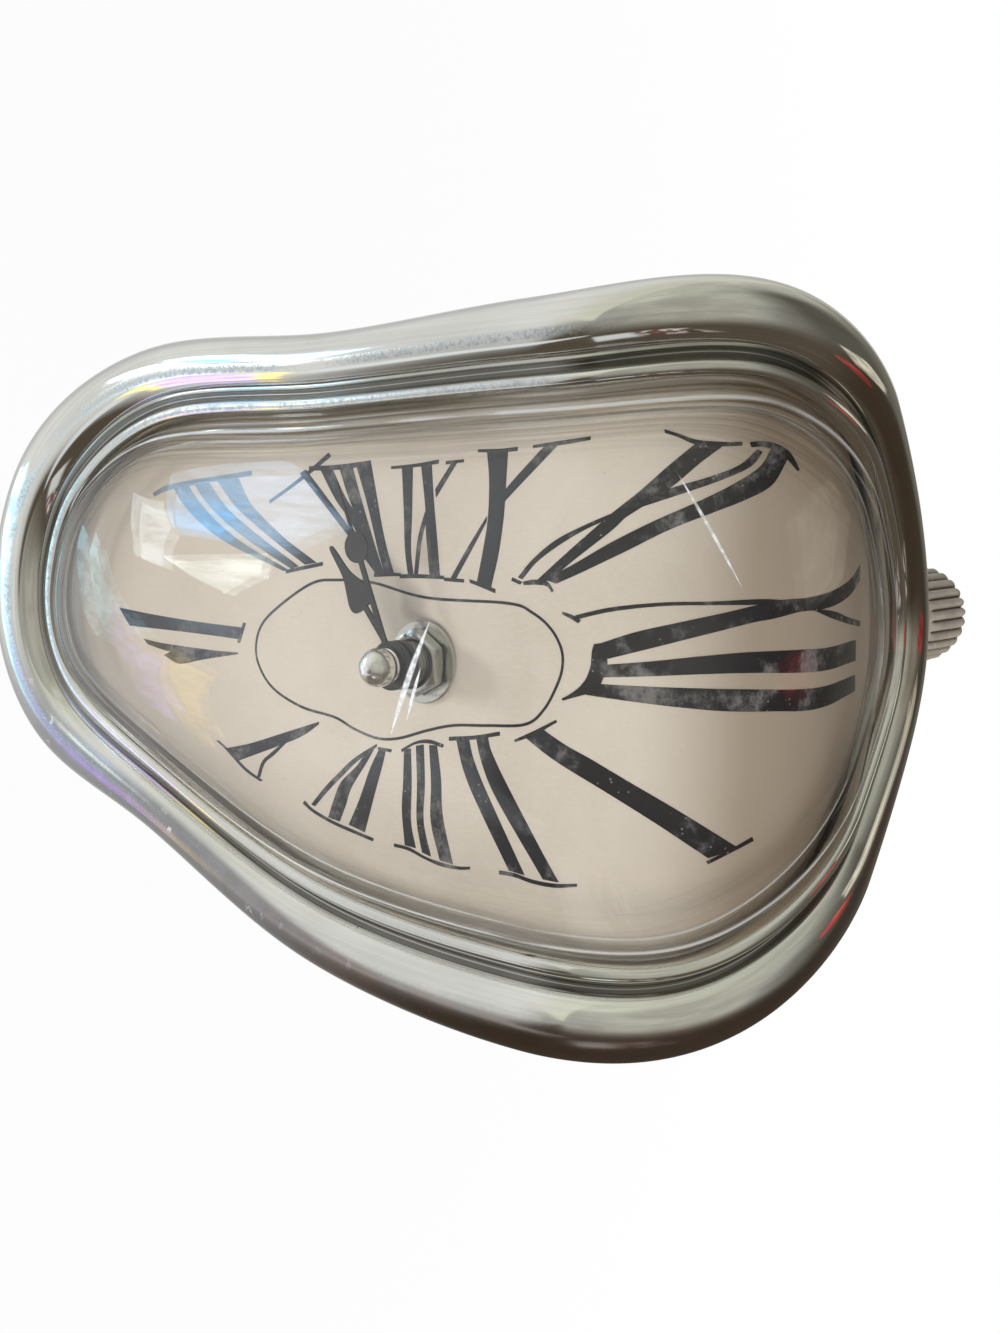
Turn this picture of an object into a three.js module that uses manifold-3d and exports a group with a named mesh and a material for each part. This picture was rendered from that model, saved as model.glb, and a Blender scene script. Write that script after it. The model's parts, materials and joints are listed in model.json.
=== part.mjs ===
// A melted shelf clock. Its dial hangs down in front of a shelf, bends over the shelf's edge
// and lies on top of it.
import * as THREE from "three";
import { mergeVertices } from "three/addons/utils/BufferGeometryUtils.js";
import Module from "manifold-3d";

const wasm = await Module();
wasm.setup();

// X points right as seen from the front, Y points back and Z up. The origin lies on the flat underside
// that rests on the shelf, straight behind the middle of the shelf's edge. Lengths are in millimetres,
// angles in degrees.

// Dial surface: upright below, round over the shelf's edge, then falling gently to the rear
const restSetback = 20; // shelf edge to origin
const bodyDepth = 24; // dial face to the shelf behind it and to the shelf below it
const bendRadius = 33;
const bendTurn = 100;
const hubDrop = 26; // start of the bend down to the hands' axis

// Rim: each point is a distance up along the dial from the hands' axis, a distance to the right,
// and the distance there from the rim's opening to the crest of its tube
const rimPath = [
  [109, -4, 6.5],
  [94.5, 22, 7.5],
  [59.5, 50.5, 9.5],
  [26, 56, 11],
  [-20.5, 51.5, 10],
  [-62.5, 35, 8.5],
  [-94.5, 20.5, 11.5],
  [-105, -2.5, 12.5],
  [-96, -29, 12],
  [-67, -46.5, 9.5],
  [-21, -50.5, 8.5],
  [24, -56, 9.5],
  [63, -58.5, 9.5],
  [95, -34, 7],
];
const rimSteps = 4; // steps from one point of the path to the next
const bendSteps = 6; // the same where the dial bends
const tubeReach = 0.62; // half width of the tube, as a share of the crest distance
const tubeHeight = 6.3; // crest above the tube's middle
const tubeMiddle = 1.7; // above the dial face
const wall = 2.2; // moulded shells
const partingHeight = -4; // where the front case ends, below the dial face
const fitGap = 0.3; // between pieces that rest on or against each other

// Lens, dial sheet and dial plate
const lensThickness = 1.8;
const lensFlange = 1.2;
const lensShoulder = [
  [0.5, 0],
  [0.9, 3],
  [3.2, 7.2],
]; // inside the opening, and above the flange
const lensRise = 18.6; // ridge of the dome above the flange
const lensRidge = [-55, 10]; // both ends of the ridge, up from the hands' axis
const lensRidgeX = -4;
const lensFall = 0.5; // the dome sinks over the bend, in the end to this share of its height
const lensFlangeOut = 0.22; // share of the crest distance
const lipHeight = 2.4; // top of the ridge that holds the lens, above its underside
const lipUnder = 2.2; // underside of that ridge above the dial face
const sheetThickness = 0.4;
const plateThickness = 2;

// Fastenings of the case: along the rim path, counted in its points
const screwPlaces = [1.3, 5.3, 9.2, 12.85];
const screwInset = 0.585; // share of the crest distance, out from the opening
const screwRadius = 1;
const screwLength = 13.5;
const screwHeadRadius = 2.5;
const screwHeadHeight = 2;
const screwSeat = -12; // under the head, from the dial face
const bossRadius = 2.3;
const bossTop = 1.4; // above the underside of the lip
const postRadius = 4.1;

// Ballast in the part that lies on the shelf
const ballastOutline = [
  [-30, -14],
  [-30, 3],
  [-17, 11.5],
  [6, 11.5],
  [16, 5],
  [21, -4],
  [21, -14],
]; // to the right and back, from the origin
const ballastHeight = 10.5;
const pegRadius = 2;
const pegPlaces = [
  [-22, -2],
  [12, -2],
];

// Crown on the rear edge
const crownX = -7.5;
const crownDrop = 4; // its axis below the dial face at the rim's rear crest
const crownBehind = 9; // its flat base behind that crest
const crownRadius = 9;
const crownLength = 19;
const crownRibs = 26;
const crownRibHeight = 0.5;
const collarRadius = 6.5;
const collarLength = 8.8;
const crownScrewRadius = 1.3;
const crownScrewHead = 2.3;
const crownScrewHeadHeight = 1.6;
const crownScrewLength = 11.5;
const crownScrewSunk = 2.3; // seat of its head inside the collar

// Clock movement: a square box behind the dial, its face set back by the plate and a rubber washer
const movementWall = 1.4;
const chamberWall = 1.2; // between the wheels and the battery
const coverThickness = 1.4;
const washerThickness = 1;
const rubberWasherRadius = 8;
const wellMargin = 2; // free space round the movement
const bushRadius = 3.9;
const bushLength = 6; // in front of the dial
const bushFlange = 5.6;
const hourTubeRadius = 2.55;
const arborRadius = 1.55;
const dialWasherRadius = 7.2;
const dialWasherThickness = 0.8;
const nutFlats = 10.4;
const nutThickness = 2.6;

// Hands, seen from the front: clockwise angles from twelve, and lengths from the axis
const hourAngle = 229;
const minuteAngle = 246;
const hourLength = 25;
const minuteLength = 33;
const handThickness = 0.4;
const collarHandRadius = 4.2;
const collarHandHeight = 1.2;
const capNutRadius = 3.5;
const tipRadius = 1.1; // of the arbor inside the cap nut

// Motion work behind the dial: tooth counts and modules
const cannonTeeth = 10;
const minuteWheelTeeth = 30;
const minutePinionTeeth = 8;
const hourWheelTeeth = 32;
const knobTeeth = 12;
const motionModule = 0.5;
const motionThickness = 1;
const knobRadius = 5;
const knobDepth = 2.2;
const knobRibs = 26;
const knobStem = 1.2;
const postBore = 1.1;

// Going train, from the wheel on the centre arbor to the rotor
const centreWheelTeeth = 64;
const thirdPinionTeeth = 8;
const thirdWheelTeeth = 60;
const fourthPinionTeeth = 8;
const fourthWheelTeeth = 60;
const stepPinionTeeth = 10;
const stepWheelTeeth = 60;
const rotorPinionTeeth = 12;
const trainMargin = 0.65; // from the centre wheel's pitch circle to the battery bay's wall
const stepModule = 0.25;
const pinBore = 0.65;
const wheelThickness = 0.8;
const hourStart = 1.4; // from the case's inner face to the hour wheel
const layerGap = 0.6;
const thirdDirection = 120; // degrees from the right, anticlockwise seen from the front
const stepDirection = 170;
const rotorDirection = 200;
const knobDirection = 45;

// Motor: a magnet on the rotor, and a coil on a core between the ends of a flat stator
const magnetRadius = 2.2;
const magnetLength = 1.8;
const statorReach = 4.9; // from the rotor's axis to the plate's edges
const statorThickness = 1;
const statorArm = 2.8;
const coilRadius = 3.2;
const coilLength = 14;
const coilStart = 8.1; // above the rotor's axis
const coreWidth = 1.8;
const coreThickness = 1.2;
const supportRadius = 1.2; // pillars under the stator and the circuit board

// Circuit board and quartz crystal
const boardWidth = 19.5;
const boardHeight = 11.5;
const boardThickness = 1;
const boardMargin = 0.6;
const chipRadius = 2.6;
const crystalRadius = 1;
const crystalLength = 6;

// Ledges that the movement's cover rests on
const ledgeLength = 6;
const ledgeDepth = 2;

// Battery
const batteryRadius = 7.1;
const batteryLength = 49;
const nubRadius = 2.7;
const nubLength = 1.5;
const contactThickness = 0.4;
const contactWidth = 9;
const contactGap = 0.65; // the cell's free play at each end

// Surfaces that follow from the sizes above
const shelfEdgeY = -restSetback;
const bendAxisY = shelfEdgeY + bendRadius - bodyDepth;
const bendAxisZ = bodyDepth - bendRadius;
const bendEnd = THREE.MathUtils.degToRad(bendTurn);
const dialY = bendAxisY - bendRadius;
const hubZ = bendAxisZ - hubDrop;
const sheetBack = -sheetThickness;
const plateFront = sheetBack - fitGap;
const plateBack = plateFront - plateThickness;
const movementSide = batteryLength + nubLength + 2 * (contactGap + contactThickness + fitGap + movementWall);
const movementDepth = movementWall + fitGap + 2 * batteryRadius + 0.5;
const far = 400; // past the object on every side

// Finishes
const finish = (color, roughness, metalness) =>
  new THREE.MeshStandardMaterial({ color, roughness, metalness });
const chrome = finish(0xc9c9c2, 0.12, 1);
const steel = finish(0xb9b9b6, 0.3, 1);
const brass = finish(0xc9a55a, 0.35, 1);
const blackPlastic = finish(0x222325, 0.5, 0);
const greyPlastic = finish(0x5d6064, 0.55, 0);
const whitePlastic = finish(0xe4e2dc, 0.5, 0);
const clearPlastic = finish(0xdfe6e6, 0.05, 0);
const paper = finish(0xd3c9ba, 0.7, 0);
const handPaint = finish(0x151515, 0.4, 0.2);
const crownPaint = finish(0xc4b9a6, 0.5, 0.1);
const copper = finish(0xb8703a, 0.4, 1);
const rubber = finish(0x262626, 0.9, 0);

// A solid from a closed geometry, turned to face out.
function solid(geometry) {
  const bare = new THREE.BufferGeometry();
  bare.setAttribute("position", geometry.getAttribute("position"));
  if (geometry.index) bare.setIndex(geometry.index);
  const merged = mergeVertices(bare, 1e-4);
  const corners = [];
  for (let i = 0; i < merged.index.count; i += 3) {
    const [a, b, c] = merged.index.array.subarray(i, i + 3);
    if (a !== b && b !== c && c !== a) corners.push(a, b, c);
  }
  const build = (triVerts) =>
    new wasm.Manifold(
      new wasm.Mesh({ numProp: 3, vertProperties: merged.attributes.position.array, triVerts }),
    );
  const made = build(new Uint32Array(corners));
  return made.volume() < 0 ? build(new Uint32Array(corners.reverse())) : made;
}

// A geometry from a solid.
function geometryOf(made) {
  const mesh = made.getMesh();
  const positions = new Float32Array(mesh.numVert * 3);
  for (let i = 0; i < mesh.numVert; i++) {
    positions.set(mesh.vertProperties.subarray(i * mesh.numProp, i * mesh.numProp + 3), i * 3);
  }
  const geometry = new THREE.BufferGeometry();
  geometry.setAttribute("position", new THREE.BufferAttribute(positions, 3));
  geometry.setIndex(new THREE.BufferAttribute(mesh.triVerts, 1));
  geometry.computeVertexNormals();
  return geometry;
}

function join(...pieces) {
  return pieces.reduce((sum, piece) => sum.add(piece));
}

function cut(body, ...pieces) {
  return pieces.reduce((rest, piece) => rest.subtract(piece), body);
}

function place(parent, name, made, material) {
  const mesh = new THREE.Mesh(geometryOf(made), material);
  mesh.name = name;
  parent.add(mesh);
  return mesh;
}

// A block between two corners.
function block(x0, x1, y0, y1, z0, z1) {
  const geometry = new THREE.BoxGeometry(x1 - x0, y1 - y0, z1 - z0);
  return solid(geometry.translate((x0 + x1) / 2, (y0 + y1) / 2, (z0 + z1) / 2));
}

// A round rod along Y.
function rod(radius, y0, y1, x = 0, z = 0, sides = 20) {
  const geometry = new THREE.CylinderGeometry(radius, radius, y1 - y0, sides);
  return solid(geometry.translate(x, (y0 + y1) / 2, z));
}

// A round post along Z.
function post(radius, z0, z1, x, y, sides = 16) {
  const geometry = new THREE.CylinderGeometry(radius, radius, z1 - z0, sides);
  return solid(geometry.rotateX(Math.PI / 2).translate(x, y, (z0 + z1) / 2));
}

// A turned piece about the Y axis, from [radius, y] pairs that start and end on the axis.
function turned(profile, x = 0, z = 0, sides = 20) {
  const geometry = new THREE.LatheGeometry(profile.map(([r, y]) => new THREE.Vector2(r, y)), sides);
  return solid(geometry.translate(x, 0, z));
}

// A flat plate from an outline in X and Z, between two Y values.
function plate(shape, y0, y1, curveSegments = 8) {
  const geometry = new THREE.ExtrudeGeometry(shape, { depth: y1 - y0, bevelEnabled: false, curveSegments });
  return solid(geometry.rotateX(Math.PI / 2).translate(0, y1, 0));
}

// A ladder of triangles across a ring of points, with its first rung next to the first point.
function ladder(count) {
  const rungs = [[0, 1, count - 1]];
  for (let i = 1; i < count - i - 1; i++) {
    rungs.push([i, i + 1, count - i]);
    if (i + 1 < count - i - 1) rungs.push([i + 1, count - i - 1, count - i]);
  }
  return rungs;
}

// A closed surface through rings of equally many points. It wraps round, or ladders close its two ends.
function skin(rings, wraps) {
  const count = rings[0].length;
  const corners = [];
  const bands = wraps ? rings.length : rings.length - 1;
  for (let r = 0; r < bands; r++) {
    const near = r * count;
    const next = ((r + 1) % rings.length) * count;
    for (let i = 0; i < count; i++) {
      const j = (i + 1) % count;
      corners.push(near + i, near + j, next + j, near + i, next + j, next + i);
    }
  }
  const end = (rings.length - 1) * count;
  for (const [a, b, c] of wraps ? [] : ladder(count)) {
    corners.push(a, c, b, end + a, end + b, end + c);
  }
  const geometry = new THREE.BufferGeometry();
  const places = rings.flat().flatMap((p) => p.toArray());
  geometry.setAttribute("position", new THREE.Float32BufferAttribute(places, 3));
  geometry.setIndex(corners);
  return solid(geometry);
}

// The dial's own frame at a place on it: X across, Y up along the dial, Z out of its face.
function dialFrame(s, x) {
  const angle = THREE.MathUtils.clamp((s - hubDrop) / bendRadius, 0, bendEnd);
  const past = s < hubDrop ? s - hubDrop : Math.max(0, s - hubDrop - bendRadius * bendEnd);
  const up = new THREE.Vector3(0, Math.sin(angle), Math.cos(angle));
  const out = new THREE.Vector3(0, -Math.cos(angle), Math.sin(angle));
  const origin = new THREE.Vector3(x, bendAxisY, bendAxisZ);
  origin.addScaledVector(out, bendRadius).addScaledVector(up, past);
  return new THREE.Matrix4().makeBasis(new THREE.Vector3(1, 0, 0), up, out).setPosition(origin);
}

function onDial(s, x, height) {
  return new THREE.Vector3(0, 0, height).applyMatrix4(dialFrame(s, x));
}

const rimPoints = rimPath.map((p) => new THREE.Vector3(...p));
const rimCurve = new THREE.CatmullRomCurve3(rimPoints, true, "catmullrom", 0.5);

// A place near the rim: how far round it, and how far out from its opening, where 1 is the tube's crest.
function nearRim(round, out) {
  const t = (((round / rimPath.length) % 1) + 1) % 1;
  const step = 1e-3;
  const here = rimCurve.getPoint(t);
  const slope = rimCurve.getPoint((t + step) % 1).sub(rimCurve.getPoint((t + 1 - step) % 1));
  const inward = new THREE.Vector2(-slope.y, slope.x).normalize().multiplyScalar(here.z * (1 - out));
  return new THREE.Vector2(here.x + inward.x, here.y + inward.y);
}

// Places round the rim, counted in the points of its path
const rimRounds = rimPath.flatMap(([s], i) => {
  const [next] = rimPath[(i + 1) % rimPath.length];
  const bends = Math.max(s, next) > hubDrop && Math.min(s, next) < hubDrop + bendRadius * bendEnd;
  const steps = bends ? bendSteps : rimSteps;
  return Array.from({ length: steps }, (_, j) => i + j / steps);
});

// One closed line round the rim at a given distance out and height.
function rimLine(out, height) {
  return rimRounds.map((round) => {
    const { x: s, y: x } = nearRim(round, out);
    return onDial(s, x, height);
  });
}

// The places a distance in millimetres inside the opening.
function openingSpots(inset) {
  return rimRounds.map((round) => nearRim(round, -inset / rimCurve.getPoint(round / rimPath.length).z));
}

// A sheet that follows the dial, with its edge a given distance out, between two heights.
function bentSheet(out, top, bottom) {
  return skin([rimLine(out, top), rimLine(out, bottom)], false);
}

// A rod that stands square to the dial face, from one height to another.
function studAt(place, radius, from, to, sides = 16) {
  const geometry = new THREE.CylinderGeometry(radius, radius, to - from, sides);
  geometry.rotateX(Math.PI / 2).translate(0, 0, (from + to) / 2);
  return solid(geometry.applyMatrix4(dialFrame(place.x, place.y)));
}

const shelf = block(-far, far, shelfEdgeY, far, -far, 0);
const shelfWithFloor = block(-far, far, shelfEdgeY - wall, far, -far, wall);
const screwSpots = screwPlaces.map((round) => nearRim(round, screwInset));

// The rim's section: out from the opening as a share of the crest distance, and height above the dial.
function rimSection() {
  const lipTop = lipUnder + lipHeight;
  const outside = [
    [0, lipUnder],
    [0, lipTop],
    [0.12, lipTop + 1],
    [0.26, lipTop + 0.8],
    [0.38, lipTop - 0.3],
  ];
  for (let angle = 150; angle >= -30; angle -= 30) {
    const turn = THREE.MathUtils.degToRad(angle);
    outside.push([1 + tubeReach * Math.cos(turn), tubeMiddle + tubeHeight * Math.sin(turn)]);
  }
  const inside = [
    [1.32, partingHeight],
    [1.12, partingHeight],
    [1.36, tubeMiddle - 2.6],
    [1.33, tubeMiddle + 2.4],
    [1, tubeMiddle + 4.2],
    [0.52, lipUnder],
  ];
  return [...outside, ...inside];
}

const rearCrest = onDial(nearRim(0, 1).x, crownX, 0);
const crownZ = rearCrest.z - crownDrop;
const crownBase = rearCrest.y + crownBehind;
const collarSpan = [crownBase - fitGap - collarLength, crownBase - fitGap];
const crownScrewSeat = collarSpan[0] + crownScrewSunk;

function crownCollar(radius) {
  return rod(radius, ...collarSpan, crownX, crownZ);
}

function frontCase() {
  const ring = skin(rimSection().map(([out, height]) => rimLine(out, height)), true);
  const bosses = screwSpots.map((spot) => studAt(spot, bossRadius, partingHeight, lipUnder + bossTop));
  const pilots = screwSpots.map((spot) =>
    studAt(spot, screwRadius + fitGap, partingHeight - 1, screwSeat + screwLength + 0.6),
  );
  return cut(join(ring, ...bosses), ...pilots, crownCollar(collarRadius + fitGap));
}

function backCase() {
  const top = partingHeight - fitGap;
  const section = [
    [1.3, top],
    [1.3, -12],
    [1.26, -18],
    [1.12, -22],
    [0.9, -bodyDepth - 3],
    [0.66, -bodyDepth - 3],
    [0.92, -17],
    [1.08, -12],
    [1.08, -6.4],
    [0.88, -5],
    [0.88, plateBack - fitGap],
    [1.05, plateBack - fitGap],
    [1.05, top],
  ];
  const walls = skin(section.map(([out, height]) => rimLine(out, height)), true);
  const floor = bentSheet(0.98, -14, -bodyDepth - 3).intersect(shelfWithFloor);
  const well = movementSide / 2 + wellMargin;
  const wellFront = dialY + 6;
  const wellBlock = (side, back) => block(-side, side, wellFront, back, hubZ - side, hubZ + side);
  const posts = screwSpots.map((spot) => studAt(spot, postRadius, -bodyDepth - 2, top, 20));
  const seats = screwSpots.flatMap((spot) => [
    studAt(spot, screwHeadRadius + 0.4, -bodyDepth - 3, screwSeat, 20),
    studAt(spot, screwRadius + fitGap, -bodyDepth, top + 1),
    studAt(spot, bossRadius + fitGap, top, plateFront),
  ]);
  const pegs = pegPlaces.map((spot) => post(pegRadius, 0, wall + fitGap + ballastHeight + 0.8, ...spot));
  const wellShell = wellBlock(well + wall, shelfEdgeY);
  const shell = join(walls, floor, wellShell, ...posts, ...pegs, crownCollar(collarRadius));
  const crownHole = join(
    rod(crownScrewRadius + fitGap, collarSpan[0], crownBase + 1, crownX, crownZ, 16),
    rod(crownScrewHead + fitGap, collarSpan[0] - 6, crownScrewSeat, crownX, crownZ),
  );
  return cut(shell, shelf, wellBlock(well, shelfEdgeY + 1), ...seats, crownHole);
}

// The lens lies with its flange under the rim's lip. It rises steeply inside the opening, then as one long
// dome that is highest along a line through its middle and sinks where the dial bends back.
function lens() {
  const flangeTop = lipUnder - fitGap;
  const flangeBottom = flangeTop - lensFlange;
  const surface = (inset, lowered) => {
    const heightAt = (rise, s) => {
      const over = THREE.MathUtils.smoothstep(s, hubDrop, hubDrop + bendRadius * bendEnd);
      return Math.max(flangeBottom, flangeTop + rise * (1 - (1 - lensFall) * over) - lowered);
    };
    const rings = lensShoulder.map(([inward, rise]) =>
      openingSpots(inward + inset).map((p) => onDial(p.x, p.y, heightAt(rise, p.x))),
    );
    const [topInward, topRise] = lensShoulder.at(-1);
    const edge = openingSpots(topInward + inset);
    for (const share of [0.16, 0.36, 0.6, 0.85]) {
      const rise = lensRise - (lensRise - topRise) * (1 - share) ** 2;
      rings.push(
        edge.map((p) => {
          const s = p.x + (THREE.MathUtils.clamp(p.x, ...lensRidge) - p.x) * share;
          return onDial(s, p.y + (lensRidgeX - p.y) * share, heightAt(rise, s));
        }),
      );
    }
    return rings;
  };
  const flange = [rimLine(lensFlangeOut, flangeTop), rimLine(lensFlangeOut, flangeBottom)];
  return skin([...surface(0, 0).reverse(), ...flange, ...surface(lensThickness, lensThickness)], false);
}

const hubHole = rod(bushRadius + fitGap, dialY - 5, dialY + 6, 0, hubZ);

function dialSheet() {
  return cut(bentSheet(0.24, 0, sheetBack), hubHole);
}

function dialPlate() {
  const holes = screwSpots.map((spot) => studAt(spot, bossRadius + fitGap, plateBack - 2, plateFront + 2));
  return cut(bentSheet(0.96, plateFront, plateBack), hubHole, ...holes);
}

function caseScrew(spot) {
  const headTop = screwSeat - fitGap;
  const head = studAt(spot, screwHeadRadius, headTop - screwHeadHeight, headTop);
  const shank = studAt(spot, screwRadius, headTop - 0.5, screwSeat + screwLength, 12);
  const slot = new THREE.BoxGeometry(0.7, 2 * screwHeadRadius + 1, 1.6);
  slot.translate(0, 0, headTop - screwHeadHeight).applyMatrix4(dialFrame(spot.x, spot.y));
  return cut(join(head, shank), solid(slot));
}

function ballast() {
  const z0 = wall + fitGap;
  const shape = new THREE.Shape(ballastOutline.map((p) => new THREE.Vector2(...p)));
  const bar = new THREE.ExtrudeGeometry(shape, { depth: ballastHeight, bevelEnabled: false });
  const holes = pegPlaces.map((spot) => post(pegRadius + fitGap, 0, z0 + ballastHeight + 1, ...spot));
  return cut(solid(bar.translate(0, 0, z0)), ...holes);
}

// A ribbed knob with a domed end.
function crown() {
  const profile = [
    [crownRadius - 1.6, 0, 0],
    [crownRadius - 0.4, 0.8, 0.5],
    [crownRadius, 2, 1],
    [crownRadius, crownLength - 5.5, 1],
    [crownRadius - 1.6, crownLength - 2.6, 0.8],
    [crownRadius - 4.4, crownLength - 0.7, 0.3],
    [1.5, crownLength, 0],
  ];
  const rings = profile.map(([radius, y, ribShare]) =>
    Array.from({ length: crownRibs * 2 }, (_, i) => {
      const turn = (i * Math.PI) / crownRibs;
      const r = radius + (i % 2 ? -1 : 0) * 2 * crownRibHeight * ribShare;
      return new THREE.Vector3(crownX + r * Math.cos(turn), crownBase + y, crownZ + r * Math.sin(turn));
    }),
  );
  const pilotEnd = crownScrewSeat + crownScrewLength + 0.5;
  const pilot = rod(crownScrewRadius + fitGap, crownBase - 1, pilotEnd, crownX, crownZ, 16);
  return cut(skin(rings, false), pilot);
}

function crownScrew() {
  const under = crownScrewSeat - fitGap;
  const head = rod(crownScrewHead, under - crownScrewHeadHeight, under, crownX, crownZ);
  return join(head, rod(crownScrewRadius, under - 0.5, under + crownScrewLength, crownX, crownZ, 12));
}

// Places inside the movement, from the hands' axis on the dial face. Y grows to the back.
const washerFront = -plateBack + fitGap;
const caseFront = washerFront + washerThickness + fitGap;
const caseInside = caseFront + movementWall;
const caseBack = caseFront + movementDepth;
const half = movementSide / 2;
const inner = half - movementWall;
const bayTop = -inner + 2 * batteryRadius + 2 * fitGap;
const chamberFloor = bayTop + chamberWall;
const coverBack = caseBack - 0.4;
const coverFront = coverBack - coverThickness;

// Layers of wheels, each as its front and back
const layer = (start, depth) => [start, start + depth];
const hourLayer = layer(caseInside + hourStart, motionThickness);
const motionLayer = layer(hourLayer[1] + layerGap, motionThickness);
const centreLayer = layer(motionLayer[1] + layerGap, wheelThickness);
const thirdLayer = layer(centreLayer[1] + layerGap, wheelThickness);
const fourthLayer = layer(thirdLayer[1] + layerGap, wheelThickness);
const stepLayer = layer(fourthLayer[1] + layerGap, wheelThickness);
const rotorLayer = layer(stepLayer[1] + layerGap, magnetLength);
const boardFront = rotorLayer[0] + 0.2;
const stagger = 0.15; // a pinion is this much longer at each side than its wheel

const polar = (distance, degrees, from = [0, 0]) => [
  from[0] + distance * Math.cos(THREE.MathUtils.degToRad(degrees)),
  from[1] + distance * Math.sin(THREE.MathUtils.degToRad(degrees)),
];
const spacing = (a, b, module) => ((a + b) / 2) * module;
// The centre wheel fills the room above the battery, and the next two pairs keep its distance.
const centreModule = (2 * (-chamberFloor - trainMargin)) / centreWheelTeeth;
const trainDistance = spacing(centreWheelTeeth, thirdPinionTeeth, centreModule);
const thirdModule = (2 * trainDistance) / (thirdWheelTeeth + fourthPinionTeeth);
const fourthModule = (2 * trainDistance) / (fourthWheelTeeth + stepPinionTeeth);
const minuteSpot = polar(spacing(cannonTeeth, minuteWheelTeeth, motionModule), 0);
const knobSpot = polar(spacing(minuteWheelTeeth, knobTeeth, motionModule), knobDirection, minuteSpot);
const thirdSpot = polar(trainDistance, thirdDirection);
const stepSpot = polar(spacing(fourthWheelTeeth, stepPinionTeeth, fourthModule), stepDirection);
const rotorSpot = polar(spacing(stepWheelTeeth, rotorPinionTeeth, stepModule), rotorDirection, stepSpot);

// A toothed wheel with pointed teeth. One tooth stands at the given angle, in degrees from +X towards +Z.
function gear(teeth, module, toothAt, bore, [y0, y1], [x, z] = [0, 0]) {
  const pitch = (teeth * module) / 2;
  const tip = pitch + 0.3 * module;
  const root = pitch - 0.9 * module;
  const points = [];
  for (let i = 0; i < teeth; i++) {
    points.push(new THREE.Vector2(...polar(tip, toothAt + (360 * i) / teeth)));
    points.push(new THREE.Vector2(...polar(root, toothAt + (360 * (i + 0.5)) / teeth)));
  }
  const shape = new THREE.Shape(points);
  shape.holes.push(new THREE.Path().absarc(0, 0, bore, 0, 2 * Math.PI, true));
  const options = { depth: y1 - y0, bevelEnabled: false, curveSegments: 6 };
  return solid(new THREE.ExtrudeGeometry(shape, options).rotateX(Math.PI / 2).translate(x, y1, z));
}

// The angle of one tooth of a gear that meshes in a given direction with a gear whose own tooth angle
// is known.
function meshing(toothAt, teeth, direction, otherTeeth) {
  const past = (((direction - toothAt) * teeth) / 360) % 1;
  return direction + 180 + ((past + 0.5) * 360) / otherTeeth;
}

const widened = ([y0, y1]) => [y0 - stagger, y1 + stagger];

const minuteTooth = 180;
const cannonTooth = meshing(minuteTooth, minuteWheelTeeth, 180, cannonTeeth);
const knobTooth = meshing(minuteTooth, minuteWheelTeeth, knobDirection, knobTeeth);
const hourTooth = meshing(180, minutePinionTeeth, 180, hourWheelTeeth);
const backDirection = 180 + thirdDirection;
const thirdPinionTooth = meshing(thirdDirection, centreWheelTeeth, thirdDirection, thirdPinionTeeth);
const fourthPinionTooth = meshing(backDirection, thirdWheelTeeth, backDirection, fourthPinionTeeth);
const stepPinionTooth = meshing(stepDirection, fourthWheelTeeth, stepDirection, stepPinionTeeth);
const rotorPinionTooth = meshing(rotorDirection, stepWheelTeeth, rotorDirection, rotorPinionTeeth);

const pinRadius = pinBore - fitGap;

// Places of the motor's parts and of the circuit board
const [rotorX, rotorZ] = rotorSpot;
const coilX = -inner + fitGap + coilRadius + 0.2;
const coilSpan = [rotorZ + coilStart, rotorZ + coilStart + coilLength];
const statorOut = -inner + 0.4;
const statorTop = inner - 0.4;
const armLeft = coilX + coilRadius + fitGap + 0.2;
const armRight = armLeft + statorArm;
const boardRight = inner - boardMargin;
const boardLeft = boardRight - boardWidth;
const boardBottom = boardRight - boardHeight;

function movementCase() {
  const body = block(-half, half, caseFront, caseBack, -half, half);
  const chamber = block(-inner, inner, caseInside, caseBack + 1, chamberFloor, inner);
  const bay = block(-inner, inner, caseInside, caseBack + 1, -inner, bayTop);
  const slots = [-1, 1].map((side) => {
    const x = side * (inner - 1);
    return block(x - 1, x + 1, caseBack - 7, caseBack + 1, bayTop - 1, chamberFloor + 1);
  });
  const ledgeBack = coverFront - fitGap;
  const ledge = (x0, x1, z0, z1) => block(x0, x1, caseInside - 0.5, ledgeBack, z0, z1);
  const ledges = [
    ledge(-ledgeLength / 2, ledgeLength / 2, inner - ledgeDepth, inner + 0.5),
    ledge(inner - ledgeDepth, inner + 0.5, -ledgeLength / 2, ledgeLength / 2),
    ledge(inner - 2 * ledgeLength, inner - ledgeLength, chamberFloor - 0.5, chamberFloor + ledgeDepth / 2),
    ledge(ledgeLength - inner, 2 * ledgeLength - inner, chamberFloor - 0.5, chamberFloor + ledgeDepth / 2),
  ];
  const support = (x, z) => rod(supportRadius, caseInside - 0.5, boardFront - fitGap, x, z, 12);
  const posts = [
    rod(postBore - fitGap, caseInside - 0.5, motionLayer[1] + 0.1, ...minuteSpot, 16),
    rod(pinRadius, caseInside - 0.5, thirdLayer[1] + 0.3, ...thirdSpot, 12),
    support((armLeft + armRight) / 2, statorTop - supportRadius),
    support(statorOut + supportRadius, rotorZ - statorReach + supportRadius),
    support(boardRight - 2 * supportRadius, boardRight - 2 * supportRadius),
    support(boardLeft + 2 * supportRadius, boardRight - 2 * supportRadius),
  ];
  const bushHole = rod(bushRadius + fitGap, caseFront - 1, caseInside + 1);
  return cut(join(cut(body, chamber, bay), ...ledges, ...posts), ...slots, bushHole);
}

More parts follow.
